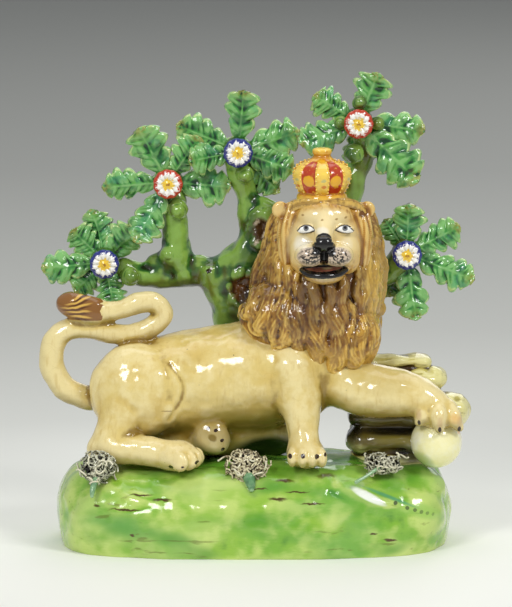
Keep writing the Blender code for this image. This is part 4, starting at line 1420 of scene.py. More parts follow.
def make_crown():
    profile = [
        (116.5, 7.6, 0.0),
        (118.6, 8.6, 0.0),
        (120.0, 8.6, 0.0),
        (120.9, 8.3, 0.0),
        (121.6, 8.0, 0.3),
        (123.0, 8.9, 1.0),
        (125.0, 9.8, 1.0),
        (127.0, 10.25, 1.0),
        (128.8, 10.1, 1.0),
        (130.6, 9.0, 1.0),
        (131.8, 7.2, 0.8),
        (132.6, 5.0, 0.5),
        (133.4, 3.4, 0.0),
        (134.2, 2.9, 0.0),
        (134.8, 3.2, 0.0),
        (135.6, 3.3, 0.0),
        (136.3, 3.0, 0.0),
        (136.7, 2.0, 0.0),
    ]
    line = spline([(radius, ribbing, z, 0) for z, radius, ribbing in profile], 4)
    crown = bmesh.new()
    rings = []
    ribbed = []
    for point in line:
        ring = []
        for k in range(144):
            angle = 2 * math.pi * k / 144
            swing = math.cos(crown_ribs * (angle + math.pi / 2))
            rib = min(max(0.5 + 1.6 * (swing - 0.1), 0), 1)
            reach = point.x - 0.8 * point.y * (1 - rib)
            out = Vector((math.cos(angle), math.sin(angle), 0))
            ring.append(crown_middle + out * reach + Vector((0, 0, point.z)))
            ribbed.append(1 - point.y * (1 - rib))
        rings.append(ring)
    rows = skin(crown, rings)
    crown.verts.index_update()
    order = [vert.index for row in rows for vert in row]
    bmesh.ops.recalc_face_normals(crown, faces=crown.faces)
    bead_size = 0.36
    bead_angle = math.radians(12.5)
    beaded = line[18:44:3]
    for rib in range(crown_ribs):
        for side in (-1, 1):
            out = crown_side(rib, side * bead_angle)
            for point in beaded:
                spot = crown_middle + out * (point.x - 0.1) + Vector((0, 0, point.z))
                where = Matrix.Translation(spot)
                bmesh.ops.create_icosphere(crown, subdivisions=2, radius=bead_size, matrix=where)
    mesh = keep_mesh(crown, "crown")
    kept = np.ones(len(mesh.vertices))
    kept[order] = ribbed
    mark(mesh, "rib", kept)
    mark_hollows(mesh, (20, 0.4))
    return mesh


def paint_crown():
    gold = Glaze(
        "yellow_crown_glaze",
        body=srgb(232, 176, 44),
        thin=srgb(246, 208, 92),
        pooled=srgb(170, 92, 26),
        patch=srgb(216, 146, 34),
        size=3.0,
        specks=0.2,
    )
    panel = ramp_of(gold.tree, gold.number("rib"), 0.55, 0.35)
    gold.lay(panel, srgb(184, 62, 26))
    gold.wash(srgb(240, 190, 70), 1.8, (1, 1, 1), 0.56, 0.68, 0.8, 1.3)
    gold.wash(srgb(196, 116, 36), 2.4, (1, 1, 1), 0.56, 0.70, 0.6, 3.7)
    gold.unsteady(1.2, 0.8)
    for rib in range(crown_ribs):
        blob = crown_middle + 9.4 * crown_side(rib + 0.5) + Vector((0, 0, 126.2))
        gold.touch(srgb(240, 178, 36), blob, (2.4, 2.4, 2.2), soft=0.4)
        for z, paint in ((129.0, (250, 214, 90)), (126.6, (200, 190, 120)), (124.4, (214, 130, 40))):
            spot = crown_middle + 10.0 * crown_side(rib) + Vector((0.5, 0, z))
            gold.touch(srgb(*paint), spot, (1.1, 2, 0.7), soft=0.7)
    return gold.finish()


fire("crown", make_crown(), paint_crown())


# The tree
# A forked stem of rolled clay behind the lion, with boughs to five sprigs, the stubs of
# cut branches and rough bark beside the mane, under green glaze with brown hollows.

tree_y = 15.0
# Where the bark is left rough: middle and half size in X and Z.
rough_bark = [((-3.0, 86.0), (6.4, 6.2)), ((2.6, 106.0), (4.4, 6.0))]


def make_tree():
    clay = bmesh.new()
    y = tree_y
    stems = [
        [
            (-5.0, y + 1, 24.0, 8.5),
            (-5.5, y + 1, 45.0, 7.2),
            (-6.4, y + 1, 65.0, 6.2),
            (-8.8, y + 1, 78.0, 5.8),
            (-11.4, y + 1, 85.0, 6.2),
            (-13.5, y, 90.0, 5.8),
        ],
        [
            (-12.5, y, 90.0, 5.4),
            (-20.0, y + 1, 90.4, 4.2),
            (-28.0, y + 1, 89.6, 4.6),
            (-37.0, y, 89.8, 3.8),
            (-45.5, y, 92.0, 3.8),
        ],
        [
            (-24.5, y, 90.5, 4.6),
            (-26.0, y, 95.0, 5.2),
            (-26.6, y, 99.0, 5.0),
            (-27.0, y, 106.0, 4.2),
            (-27.3, y, 114.0, 4.2),
            (-29.0, y, 120.0, 4.2),
        ],
        [
            (-13.5, y, 90.0, 5.2),
            (-6.5, y - 0.5, 93.5, 6.2),
            (-0.6, y - 1.0, 99.0, 6.2),
            (-0.2, y, 107.0, 4.6),
            (-2.6, y, 117.0, 3.7),
            (-5.4, y, 126.0, 4.4),
            (-5.6, y, 132.0, 4.6),
        ],
        [
            (-8.0, y + 1, 74.0, 5.5),
            (8.0, y - 1, 90.0, 5.5),
            (22.0, y - 2, 104.0, 5.0),
            (32.0, y - 1, 115.0, 4.0),
            (34.8, y, 124.0, 3.2),
            (38.5, y, 131.5, 3.2),
            (37.0, y - 1, 140.0, 4.0),
        ],
        [
            (18.0, y - 3, 92.0, 5.0),
            (34.0, y - 3, 90.0, 4.6),
            (45.0, y - 3, 90.5, 4.2),
            (51.0, y - 4, 96.5, 4.2),
        ],
        [(1.0, y, 114.0, 3.6), (7.0, y - 2, 111.0, 4.4), (16, y - 4, 108, 4.6)],
        [(-9.5, y, 80.0, 5.0), (-3.0, y - 2, 79.0, 5.4), (3.0, y - 3, 80.0, 5.0)],
        [(2.0, y - 1, 84.0, 4.0), (3.0, y - 1, 95.0, 4.0), (4.6, y - 1, 104.0, 4.0)],
    ]
    for stem in stems:
        roll(clay, stem)
    lump(clay, (-32.0, y, 93.4), (5.2, 4.0, 4.6))
    lump(clay, (-19.6, y, 92.6), (5.4, 4.0, 4.2))
    lump(clay, (-29.6, y - 3.6, 97.5), (2.9, 2.6, 2.9))
    lump(clay, (-15.4, y - 4.8, 92.2), (1.9, 1.6, 1.7))
    calm = press(clay, 0.6, 26)
    write_places(calm, read_places(calm) + 0.25 * read_normals(calm))
    clay = bmesh.new()
    clay.from_mesh(calm)
    surface = BVHTree.FromBMesh(clay)
    chance = random.Random(5)
    for (x, z), (broad, high) in rough_bark:
        for _ in range(34):
            angle = chance.uniform(0, 2 * math.pi)
            reach = math.sqrt(chance.random())
            start = Vector((x + broad * reach * math.cos(angle), -30, z + high * reach * math.sin(angle)))
            found = surface.ray_cast(start, Vector((0, 1, 0)))[0]
            if found:
                size = chance.uniform(0.8, 1.9)
                lump(clay, found, (size, size, size * 1.5), (0, chance.uniform(-40, 40), 0))
    mesh = press(clay, 0.5, 3)
    unsettle(mesh, 6.0, 0.9)
    unsettle(mesh, 2.0, 0.15)
    stub = Vector((-29.6, y - 7, 97.5))
    ring = [(1.9 * math.cos(k / 3), 1.9 * math.sin(k / 3)) for k in range(20)]
    score(mesh, [stub + Vector((x, 0.6, z)) for x, z in ring], 0.45, 0.35)
    dent(mesh, (-15.4, y - 6, 92.2), (0.8, 3, 0.7), 1.3)
    mark_hollows(mesh, (12, 0.2), (90, 1.2))
    mark_undersides(mesh)
    return mesh


def paint_tree():
    green = Glaze(
        "green_bark_glaze",
        body=srgb(64, 116, 40),
        thin=srgb(134, 172, 76),
        pooled=srgb(30, 38, 16),
        patch=srgb(42, 90, 38),
        size=9.0,
        specks=0.3,
    )
    grown = (1, 1, 0.45)
    green.wash(srgb(122, 150, 50), 7.0, grown, 0.46, 0.78, 0.9, 1.1, fine=1.5)
    green.wash(srgb(86, 74, 26), 5.0, grown, 0.5, 0.78, 0.9, 2.9, fine=1.5)
    green.wash(srgb(26, 66, 36), 8.0, grown, 0.48, 0.80, 0.8, 4.3, fine=1.5)
    # Painted shade: brown on the downward-facing surfaces.
    green.lay(ramp_of(green.tree, green.number("under"), 0.1, 0.9, 0.0, 0.8), srgb(44, 38, 14))
    green.unsteady(2.0, 4.0)
    (x, z), (broad, high) = rough_bark[0]
    green.touch(srgb(104, 66, 30), (x, tree_y - 4, z), (broad, 9, high), soft=0.7)
    green.touch(srgb(26, 14, 8), (x + 1.6, tree_y - 4, z - 2), (4.4, 9, 4.6), soft=0.9, strength=0.9)
    (x, z), (broad, high) = rough_bark[1]
    green.touch(srgb(78, 52, 28), (x, tree_y - 4, z), (broad, 9, high), soft=0.7)
    green.unsteady(0.8, 1.8)
    for dx, dz in ((-1.6, 3.0), (1.0, -1.4), (-1.8, -3.8)):
        green.touch(srgb(206, 190, 164), (x + dx, tree_y - 5, z + dz), (1.7, 6, 1.0), turn=50, soft=0.9)
    green.touch(srgb(228, 228, 220), (-14.6, tree_y - 6, 92.8), (0.7, 4, 0.5), soft=0.5)
    green.touch(srgb(40, 26, 12), (-15.6, tree_y - 6, 92.0), (1.0, 4, 0.8), soft=0.5)
    return green.finish()


fire("tree", make_tree(), paint_tree())


# The leaves
# Oak leaves pressed in a mould, with fingered edges, raised rims and veins, stuck round
# each flower with slip. Green glaze runs thin on the rims, and their backs are painted dark as shade.

# Each sprig: the flower's centre, and the leaves round it as (angle, length, width, lean
# towards the viewer). Angles are in degrees, 0 to the right and 90 up.
sprigs = [
    (
        (-51.1, 7.0, 95.0),
        [
            (186, 21.5, 12.5, 0.05),
            (135, 15.5, 12.5, 0.0),
            (101, 18.0, 12.0, -0.35),
            (48, 15.5, 15.0, 0.0),
            (281, 14.5, 11.5, 0.1),
            (224, 14.0, 12.0, 0.0),
        ],
    ),
    (
        (-29.3, 7.0, 122.6),
        [
            (118, 21.0, 15.5, 0.0),
            (184, 22.5, 12.0, 0.05),
            (242, 23.0, 13.0, 0.1),
            (354, 21.0, 14.5, -0.1),
            (56, 18.5, 13.0, -0.05),
        ],
    ),
    (
        (-5.4, 7.0, 133.3),
        [
            (84, 21.0, 13.5, 0.0),
            (157, 22.5, 13.0, -0.05),
            (192, 17.0, 12.0, 0.0),
            (17, 21.5, 14.0, 0.0),
            (341, 20.0, 13.5, 0.0),
            (312, 20.0, 11.0, -0.3),
        ],
    ),
    (
        (35.6, 7.0, 143.2),
        [
            (68, 17.9, 14.5, 0.0),
            (149, 17.5, 12.0, 0.0),
            (201, 21.0, 13.5, 0.0),
            (352, 22.5, 12.5, 0.0),
            (315.5, 28.5, 17.0, 0.1),
            (271, 17.0, 12.0, -0.3),
        ],
    ),
    (
        (52.3, 5.0, 98.4),
        [
            (87, 16.5, 12.5, 0.0),
            (26, 20.0, 12.5, 0.0),
            (337, 24.5, 12.5, 0.0),
            (277, 23.0, 13.5, 0.1),
            (246, 17.0, 11.0, -0.3),
            (124, 13.0, 10.0, -0.3),
        ],
    ),
]
leaf_thickness = 2.4
# The share of a leaf's length where its lobes begin, and the share that they take up.
lobes_begin = 0.12
lobes_take = 0.80


def leaf_half_width(t, lobes):
    """Half the leaf's width at t of its length, as a share, with a notch between lobes."""
    swell = math.sin(math.pi * min(t**1.25 * 0.93 + 0.05, 1)) ** 0.6
    swell *= (0.75 + 0.25 * t) * math.sqrt(1.001 - t**9)
    phase = (t - lobes_begin) / lobes_take * lobes
    if phase < 0 or phase > lobes:
        return swell
    return swell * (0.58 + 0.42 * abs(math.sin(math.pi * phase)) ** 0.55)


def make_leaf(name, lobes, curl):
    """A leaf one unit long and one wide, lying along X with its face to +Z."""
    rows = 48
    columns = 20
    leaf = bmesh.new()
    ribbed = leaf.verts.layers.float.new("rib")
    tipped = leaf.verts.layers.float.new("tip")
    shaded = leaf.verts.layers.float.new("under")
    sheets = [[], []]
    for row in range(rows + 1):
        t = row / rows
        half = max(leaf_half_width(t, lobes) * 0.5, 0.03)
        phase = (t - lobes_begin) / lobes_take * lobes % 1
        for under, sheet in enumerate(sheets):
            line = []
            for column in range(columns + 1):
                v = 2 * column / columns - 1
                slant = 0.13 * abs(v) ** 1.3 * math.sin(math.pi * t)
                midrib = math.exp(-((v * half / 0.03) ** 2)) * (1 - 0.6 * t)
                crease = math.exp(-(((phase - 0.5) / 0.10) ** 2)) * min(abs(v) * 3, 1)
                rim = math.exp(-(((abs(v) - 0.93) / 0.09) ** 2))
                edge = math.sqrt(max(1 - abs(v) ** 6, 0))
                puff = 0.6 * math.sin(math.pi * abs(v)) * abs(math.sin(math.pi * phase))
                rise = curl * t * t - 1.6 * (v * half * 2) ** 2
                if under:
                    rise -= leaf_thickness - 0.8 * (1 - edge)
                else:
                    rise += 0.5 * midrib + 0.3 * rim + puff - 0.35 * crease - 0.9 * (1 - edge)
                spot = leaf.verts.new((t + slant, v * half * (1 - 0.06 * under), rise))
                spot[ribbed] = 0 if under else max(rim, 0.55 * midrib, 0.5 * crease)
                spot[tipped] = t**4
                spot[shaded] = under
                line.append(spot)
            sheet.append(line)
    front, back = sheets
    for row in range(rows):
        for sheet in sheets:
            for k in range(columns):
                low, high = sheet[row], sheet[row + 1]
                leaf.faces.new((low[k], high[k], high[k + 1], low[k + 1]))
        for side in (0, -1):
            ends = (front[row][side], back[row][side], back[row + 1][side], front[row + 1][side])
            leaf.faces.new(ends)
    for row in (0, -1):
        for k in range(columns):
            ends = (front[row][k], front[row][k + 1], back[row][k + 1], back[row][k])
            leaf.faces.new(ends)
    bmesh.ops.recalc_face_normals(leaf, faces=leaf.faces)
    return bpy.data.objects.new(name, keep_mesh(leaf, name))


def make_setting_tree():
    """Sets copies of a shape at marked points, each turned and sized as its point says."""
    inputs = [("Points", "Geometry"), ("Shape", "Object"), ("Glaze", "Material")]
    tree, given = start_tree("set_copies", inputs)
    turn = add_node(tree, "GeometryNodeInputNamedAttribute", {0: "turn"}, data_type="FLOAT_VECTOR")
    size = add_node(tree, "GeometryNodeInputNamedAttribute", {0: "size"}, data_type="FLOAT_VECTOR")
    turned = add_node(tree, "FunctionNodeEulerToRotation", {0: turn.outputs[0]}).outputs[0]
    shape = add_node(tree, "GeometryNodeObjectInfo", {"Object": given["Shape"]})
    points = add_node(tree, "GeometryNodeMeshToPoints", {0: given["Points"]}).outputs[0]
    feeds = {
        "Points": points,
        "Instance": shape.outputs["Geometry"],
        "Rotation": turned,
        "Scale": size.outputs[0],
    }
    placed = add_node(tree, "GeometryNodeInstanceOnPoints", feeds).outputs[0]
    return end_tree(tree, placed, given["Glaze"])


setting_tree = make_setting_tree()


def set_copies(name, shape, places, material):
    """Copies of a shape at places: (where, along, out, size), joined as one mesh."""
    points = bpy.data.meshes.new(name)
    points.from_pydata([where for where, _, _, _ in places], [], [])
    turns = points.attributes.new("turn", "FLOAT_VECTOR", "POINT")
    sizes = points.attributes.new("size", "FLOAT_VECTOR", "POINT")
    for k, (_, along, out, size) in enumerate(places):
        ahead = Vector(along).normalized()
        up = (Vector(out) - ahead * ahead.dot(Vector(out))).normalized()
        side = up.cross(ahead)
        turns.data[k].vector = Matrix((ahead, side, up)).transposed().to_euler()
        sizes.data[k].vector = size
    thing = bpy.data.objects.new(name, points)
    bpy.context.scene.collection.objects.link(shape)
    mesh = run_tree(name, thing, setting_tree, {"Shape": shape, "Glaze": material})
    bpy.data.objects.remove(shape)
    return mesh


def make_leaves(material):
    chance = random.Random(8)
    kinds = [[], [], []]
    for centre, leaves in sprigs:
        x, y, z = centre
        for order, (angle, length, width, lean) in enumerate(leaves):
            spoke = Vector((math.cos(math.radians(angle)), 0, math.sin(math.radians(angle))))
            root = Vector((x, y + 3.6 + 1.3 * (order % 2), z)) + 1.5 * spoke
            size = (length - 1.0, width * 1.12, 1.0)
            out = (chance.uniform(-0.3, 0.3), -1, chance.uniform(-0.3, 0.3))
            kinds[order % 3].append((root, spoke + Vector((0, -lean, 0)), out, size))
    shapes = [("leaf_of_three", 3, 2.2), ("leaf_of_four", 4, 1.4), ("curled_leaf", 4, 3.4)]
    clay = bmesh.new()
    for (name, lobes, curl), places in zip(shapes, kinds):
        clay.from_mesh(set_copies(name, make_leaf(name, lobes, curl), places, material))
    mesh = keep_mesh(clay, "leaves")
    unsettle(mesh, 4.0, 0.8)
    mark_hollows(mesh, (8, 0.16))
    return mesh


def paint_leaves():
    green = Glaze(
        "green_leaf_glaze",
        body=srgb(62, 140, 62),
        thin=srgb(128, 186, 108),
        pooled=srgb(16, 60, 30),
        patch=srgb(98, 164, 74),
        size=4.0,
        specks=0.2,
    )
    green.wash(srgb(20, 84, 46), 4.0, (1, 1, 1), 0.5, 0.68, 0.6, 1.7)
    # Painted reflection: bluish blotches for the backdrop seen in the gloss.
    green.wash(srgb(84, 164, 116), 6.0, (1, 1, 1), 0.54, 0.68, 0.5, 3.9)
    tree = green.tree
    broken = ramp_of(tree, noise_of(tree, green.place, 700.0, 2.0), 0.38, 0.54)
    rim = ramp_of(tree, green.number("rib"), 0.3, 0.9, 0.0, 0.95)
    green.lay(sum_of(tree, rim, broken, "MULTIPLY"), srgb(190, 214, 142))
    tip = ramp_of(tree, green.number("tip"), 0.3, 1.0, 0.0, 0.8)
    green.lay(sum_of(tree, tip, broken, "MULTIPLY"), srgb(164, 154, 72))
    # Painted shade: the backs of the leaves darkened.
    green.lay(ramp_of(tree, green.number("under"), 0.1, 0.9, 0.0, 0.8), srgb(14, 36, 18))
    return green.finish(bump=0.8)


green_leaves = paint_leaves()
fire("leaves", make_leaves(green_leaves), green_leaves)


# The flowers
# Thick buttons with a moulded daisy on the front, each stuck over the roots of its
# leaves: white petals, a yellow eye and a blue or an iron-red rim.


def make_flower():
    """A flower of radius one, along X with its face to +X."""
    flower = bmesh.new()
    middle = flower.verts.layers.float.new("from_middle")
    petals = 11
    profile = []
    for step in range(14):
        share = step / 13
        profile.append((share, 0.66 - 0.16 * share * share + 0.05 * math.cos(share * 9)))
    profile += [(1.02, 0.36), (1.0, 0.15), (0.95, -0.1), (0.85, -0.5), (0.8, -0.9)]
    rings = []
    for share, height in profile[1:]:
        ring = []
        for k in range(88):
            angle = 2 * math.pi * k / 88
            swing = abs(math.cos(petals * angle / 2))
            ruffle = 0.07 * swing * (0.35 < share <= 1)
            reach = share * (1 + 0.04 * (swing - 0.5) * (share > 0.8))
            ring.append(Vector((height + ruffle, reach * math.cos(angle), reach * math.sin(angle))))
        rings.append(ring)
    rows = skin(flower, rings)
    bmesh.ops.recalc_face_normals(flower, faces=flower.faces)
    for (share, height), row in zip(profile[1:], rows):
        for k, vert in enumerate(row):
            valley = 1 - abs(math.cos(petals * math.pi * k / 88))
            vert[middle] = share + 0.09 * valley * (share > 0.5) + (0.4 if height < 0.3 else 0)
    return bpy.data.objects.new("button_flower", keep_mesh(flower, "button_flower"))


def make_pads_behind_flowers():
    clay = bmesh.new()
    for (x, y, z), _ in sprigs:
        lump(clay, (x, y + 5.0, z), (5.2, 6.0, 5.2))
    mesh = keep_mesh(clay, "pads")
    mark(mesh, "hollow", [0.3] * len(mesh.vertices))
    return mesh


def paint_flower(name, rim):
    white = Glaze(
        name,
        body=srgb(240, 238, 228),
        thin=srgb(252, 250, 244),
        pooled=srgb(200, 196, 176),
        patch=srgb(232, 230, 214),
        size=2.0,
        specks=0.0,
    )
    middle = white.number("from_middle")
    ragged = noise_of(white.tree, white.place, 1400.0, 2.0)
    middle = sum_of(white.tree, middle, ramp_of(white.tree, ragged, 0.3, 0.7, -0.11, 0.11))
    white.lay(ramp_of(white.tree, middle, 0.74, 0.88), rim)
    white.lay(ramp_of(white.tree, middle, 0.46, 0.36), srgb(240, 200, 62))
    white.lay(ramp_of(white.tree, middle, 0.12, 0.04), srgb(170, 120, 40))
    return white.finish()


def flower_places(chosen):
    return [
        (Vector(sprigs[k][0]), (0.0, -1, 0.03), (0, 0.03, 1), (4.9, 4.9, 4.9)) for k in chosen
    ]


for colour_name, rim, chosen in (
    ("blue", srgb(44, 52, 128), (0, 2, 4)),
    ("red", srgb(190, 62, 36), (1, 3)),
):
    blooms = set_copies(
        "flowers", make_flower(), flower_places(chosen), paint_flower(colour_name + "_flower_glaze", rim)
    )
    mark_hollows(blooms, (6, 0.2))
    fire(colour_name + "_flowers", blooms)
fire("pads_behind_flowers", make_pads_behind_flowers(), bpy.data.materials["green_bark_glaze"])


# The buds
# Acorns of green clay, each a round nut in a cup, stuck beside the flowers.


def make_bud_shape():
    """A nut of radius one in its cup, along X with its tip to +X."""
    profile = [(-1.4, 0.5), (-1.2, 0.72), (-0.6, 0.98), (-0.1, 1.02), (0.2, 0.94), (0.34, 0.84)]
    profile += [(0.36, 0.78), (0.42, 0.74), (0.62, 0.64), (0.82, 0.46), (0.92, 0.28), (0.98, 0.1)]
    bud = bmesh.new()
    rings = []
    for along, reach in profile[::-1]:
        ring = []
        for k in range(32):
            angle = 2 * math.pi * k / 32
            ring.append(Vector((along, reach * math.cos(angle), reach * math.sin(angle))))
        rings.append(ring)
    skin(bud, rings)
    bmesh.ops.recalc_face_normals(bud, faces=bud.faces)
    return bpy.data.objects.new("acorn", keep_mesh(bud, "acorn"))


def make_buds(material):
    buds = [
        ((-42.4, 9.5, 90.2), 3.4, (0.3, -1, 0.1)),
        ((-26.0, 9.5, 113.2), 3.5, (0.1, -1, -0.3)),
        ((-3.0, 9.5, 125.2), 3.1, (0.2, -1, -0.2)),
        ((34.0, 9.0, 132.3), 3.4, (-0.2, -1, -0.3)),
        ((36.0, 8.5, 150.2), 2.5, (0, -1, 0.2)),
        ((42.2, 9.0, 143.0), 2.4, (0.2, -1, 0)),
        ((29.5, 9.5, 143.0), 2.4, (-0.2, -1, 0)),
    ]
    places = [(Vector(spot), way, (0, 0, 1), (size,) * 3) for spot, size, way in buds]
    mesh = set_copies("buds", make_bud_shape(), places, material)
    unsettle(mesh, 2.0, 0.3)
    mark_hollows(mesh, (6, 0.25))
    return mesh


fire("buds", make_buds(bpy.data.materials["green_bark_glaze"]))


# The ball
# A round ball under the raised paw, at the right front edge of the mound, in pale cream
# glaze with rusty runs from the paw.


def make_ball():
    clay = bmesh.new()
    lump(clay, (62.0, -12.0, 36.6), (8.8, 8.8, 8.9))
    lump(clay, (63.5, -20.0, 27.6), (1.5, 1.5, 1.6))
    mesh = press(clay, 0.45, 4)
    mark_hollows(mesh, (20, 0.4))
    return mesh


def paint_ball():
    cream = Glaze(
        "cream_ball_glaze",
        body=srgb(250, 242, 178),
        thin=srgb(248, 244, 204),
        pooled=srgb(200, 190, 90),
        patch=srgb(242, 234, 160),
        size=10.0,
        specks=0.1,
    )
    cream.wash(srgb(250, 248, 232), 7.0, (1, 1, 1), 0.5, 0.7, 0.7, 1.9)
    cream.touch(srgb(120, 150, 56), (57.5, -14, 31), (5.5, 12, 3.6), turn=-40, soft=0.9, strength=0.6)
    cream.unsteady(1.5, 1.2)
    for x, z, high in ((61.5, 46.0, 2.0), (68.4, 46.5, 2.6), (57.4, 45.5, 2.2), (70.0, 41.0, 1.6)):
        cream.touch(srgb(214, 134, 44), (x, -16, z), (1.2, 9, high), soft=0.9, strength=0.8)
    return cream.finish()


fire("ball", make_ball(), paint_ball())


# The logs
# A stack of rough logs that props the reaching leg, in pale olive glaze that goes
# brown-black where it pools, with painted dark shade under the leg, between the logs and where they meet
# the body and the mound.


def make_logs():
    logs = [
        (40.0, 58.5, 5.0, 61.6, 2.3, 5.5),
        (38.0, 62.0, 3.5, 55.8, 4.2, 7.5),
        (38.0, 68.0, 2.5, 45.2, 6.1, 9.5),
        (35.0, 54.0, -2.0, 43.6, 3.0, 6.5),
        (36.5, 56.0, -1.0, 35.8, 5.2, 9.0),
        (38.0, 60.0, 11.0, 36.5, 5.4, 7.5),
        (40.0, 62.0, 9.5, 46.0, 5.2, 6.5),
        (42.0, 58.0, 8.0, 54.5, 4.4, 6.0),
    ]
    clay = bmesh.new()
    for left, right, y, z, high, deep in logs:
        stations = [(left + (right - left) * t, y, z, high) for t in (0.0, 0.5, 1.0)]
        roll(clay, stations, broad=deep / high, facing=(0, 0, 1), sides=36, steps=4)
    lump(clay, (48.0, 4.0, 44.0), (11.0, 7.0, 16.0))
    lump(clay, (48.0, 2.0, 29.0), (15.0, 12.0, 6.0))
    mesh = press(clay, 0.5, 4)
    unsettle(mesh, 5.0, 0.8)
    chance = random.Random(9)
    for left, right, y, z, high, deep in logs:
        for k in (-0.45, 0.1, 0.6):
            level = z + high * k
            front = y - deep * math.sqrt(1 - k * k)
            along = [left + (right - left) * t for t in (0.2, 0.4, 0.6, 0.8)]
            score(mesh, [(x, front, level + chance.uniform(-0.5, 0.5)) for x in along], 0.5, 0.3)
    mark_hollows(mesh, (8, 0.15), (40, 0.8))
    return mesh


def paint_logs():
    olive = Glaze(
        "olive_log_glaze",
        body=srgb(196, 184, 100),
        thin=srgb(226, 218, 150),
        pooled=srgb(62, 42, 16),
        patch=srgb(168, 156, 70),
        size=9.0,
        stretch=(0.4, 1.0, 2.5),
        specks=0.3,
    )
    olive.wash(srgb(106, 84, 30), 4.0, (0.3, 1, 2.0), 0.54, 0.68, 0.6, 2.3)
    # Painted shade: darker olive under the reaching leg.
    olive.touch(srgb(96, 82, 30), (44, -6, 40), (15, 16, 9.5), soft=0.6, strength=0.9)
    olive.touch(srgb(140, 128, 52), (48, -8, 36.8), (9, 14, 2.0), soft=0.9, strength=0.8)
    # Painted shade: near-black where the logs meet the body, in the gap between the logs and at the foot
    # of the stack.
    olive.touch(srgb(16, 10, 6), (33.5, -2, 40), (5, 14, 10), soft=0.9, strength=0.95)
    olive.touch(srgb(16, 10, 6), (48, -6, 39.4), (16, 14, 1.6), soft=0.9, strength=0.9)
    olive.touch(srgb(16, 10, 6), (54, -6, 32.0), (9, 14, 4.6), soft=0.9, strength=0.9)
    return olive.finish()


fire("logs", make_logs(), paint_logs())


# The moss
# Clay pushed through a sieve, set on the slope in three clumps of fine curled strands
# over a dab of slip, left pale with brown patches, with painted near-black shade deep in each clump and
# over the slip.

# How far each clump stands out of the slope, and for each one: its middle, half its width
# and height, how many strands, the seed for its tangle, and the colours of its strands.
clump_depth = 2.6
moss_clumps = [
    ((-53.0, -22.6, 29.6), (5.4, 5.2), 84, 1, srgb(212, 212, 186), srgb(76, 72, 50)),
    ((-2.5, -24.6, 30.6), (6.8, 5.6), 112, 2, srgb(228, 218, 178), srgb(88, 64, 34)),
    ((43.8, -21.6, 31.0), (6.4, 3.2), 60, 3, srgb(206, 204, 178), srgb(76, 70, 46)),
]


def make_moss_tree():
    """Turns strand lines into round strands, with a named thickness."""
    inputs = [("Lines", "Geometry"), ("Thickness", "Float"), ("Sides", "Int"), ("Glaze", "Material")]
    tree, given = start_tree("sieved_strands", inputs)
    half = sum_of(tree, given["Thickness"], 0.5, "MULTIPLY")
    feeds = {"Resolution": given["Sides"], "Radius": half}
    ring = add_node(tree, "GeometryNodeCurvePrimitiveCircle", feeds).outputs[0]
    feeds = {"Curve": given["Lines"], "Profile Curve": ring, "Fill Caps": True}
    strands = add_node(tree, "GeometryNodeCurveToMesh", feeds).outputs[0]
    return end_tree(tree, strands, given["Glaze"])


moss_tree = make_moss_tree()


def tangle(centre, spread, count, seed):
    """Short curling lines that stay within a low heap."""
    lines = bpy.data.curves.new("strands", "CURVE")
    lines.dimensions = "3D"
    chance = random.Random(seed)
    middle = Vector(centre)
    heap = Vector((spread[0], clump_depth, spread[1]))
    for _ in range(count):
        away = Vector([chance.gauss(0, 1) for _ in range(3)]).normalized()
        away.y = -abs(away.y)
        spot = middle + Vector([a * h for a, h in zip(away, heap)]) * chance.uniform(0.75, 1.05)
        bound = 1.7 if chance.random() < 0.3 else 1.15
        line = lines.splines.new("POLY")
        line.points.add(9)
        way = Vector([chance.gauss(0, 1) for _ in range(3)]).cross(away).normalized()
        bend = chance.choice((-1, 1)) * chance.uniform(0.3, 0.9)
        for point in line.points:
            point.co = (*spot, 1)
            point.radius = 1.0
            stray = Vector([chance.gauss(0, 1) for _ in range(3)])
            way = (way + bend * away.cross(way) + 0.2 * stray).normalized()
            spot = spot + way * 0.8
            inside = Vector([(s - m) / h for s, m, h in zip(spot, middle, heap)])
            if inside.length > bound:
                spot = middle + (spot - middle) / inside.length * bound
    return bpy.data.objects.new("strands", lines)


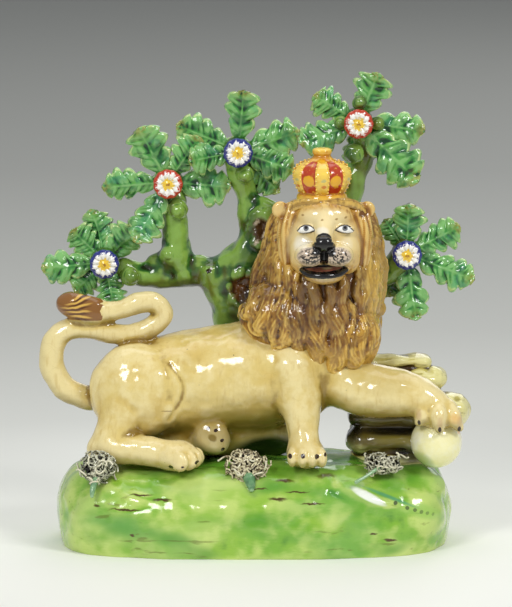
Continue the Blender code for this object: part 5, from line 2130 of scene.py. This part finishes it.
def make_moss(centre, spread, count, seed, material):
    thing = tangle(centre, spread, count, seed)
    inputs = {"Thickness": 0.62, "Sides": 6, "Glaze": material}
    strands = run_tree("strands", thing, moss_tree, inputs)
    heap_half = Vector((spread[0], clump_depth, spread[1]))
    # Painted shade: the strands darken towards the middle of each clump and turn pale at its outside.
    painted_shade_depths = []
    for place in read_places(strands):
        away = Vector(place) - Vector(centre)
        painted_shade_depths.append(2.6 * (1.16 - Vector([a / h for a, h in zip(away, heap_half)]).length))
    mark(strands, "hollow", painted_shade_depths)
    clay = bmesh.new()
    lump(clay, Vector(centre) + Vector((0, 1.2, 0)), (spread[0] * 0.78, 2.4, spread[1] * 0.78))
    heap = keep_mesh(clay, "heap")
    # Painted shade: the slip under the strands is marked fully dark.
    mark(heap, "hollow", [1.0] * len(heap.vertices))
    clay = bmesh.new()
    clay.from_mesh(strands)
    clay.from_mesh(heap)
    return keep_mesh(clay, "moss")


def paint_moss(name, body, patch):
    pale = Glaze(
        name,
        body=body,
        thin=srgb(224, 218, 190),
        # The pooled colour here is the painted near-black shade inside the clump.
        pooled=srgb(22, 18, 12),
        patch=patch,
        size=0.9,
        specks=0.0,
    )
    return pale.finish()


for order, (centre, spread, count, seed, body, patch) in enumerate(moss_clumps):
    name = "moss_" + str(order + 1)
    moss_glaze = paint_moss(name + "_glaze", body, patch)
    fire(name, make_moss(centre, spread, count, seed, moss_glaze), moss_glaze)


def make_moss_feet():
    """The runs of blue-green glaze below the clumps, and the twig beside the last."""
    clay = bmesh.new()
    roll(clay, [(-53.5, -25.0, 26.0, 1.2), (-54.4, -27.0, 23.0, 1.0), (-54.6, -28.0, 21.0, 0.7)])
    mesh = press(clay, 0.3, 3)
    feet = bmesh.new()
    feet.from_mesh(mesh)
    for stations in (
        [(-1.6, -26.6, 27.0, 2.2), (-1.0, -27.8, 24.8, 1.6), (-0.8, -28.6, 23.4, 1.0)],
        [(42.0, -23.6, 29.8, 0.7), (38.0, -26.4, 27.6, 0.6), (34.4, -28.2, 25.8, 0.7)],
    ):
        clay = bmesh.new()
        roll(clay, stations)
        feet.from_mesh(press(clay, 0.3, 3))
    feet.to_mesh(mesh)
    feet.free()
    mark_hollows(mesh, (6, 0.2))
    return mesh


def paint_moss_feet():
    run = Glaze(
        "blue_green_run_glaze",
        body=srgb(84, 136, 88),
        thin=srgb(150, 184, 140),
        pooled=srgb(36, 72, 46),
        patch=srgb(56, 104, 68),
        size=1.8,
        specks=0.3,
    )
    return run.finish()


fire("moss_feet", make_moss_feet(), paint_moss_feet())
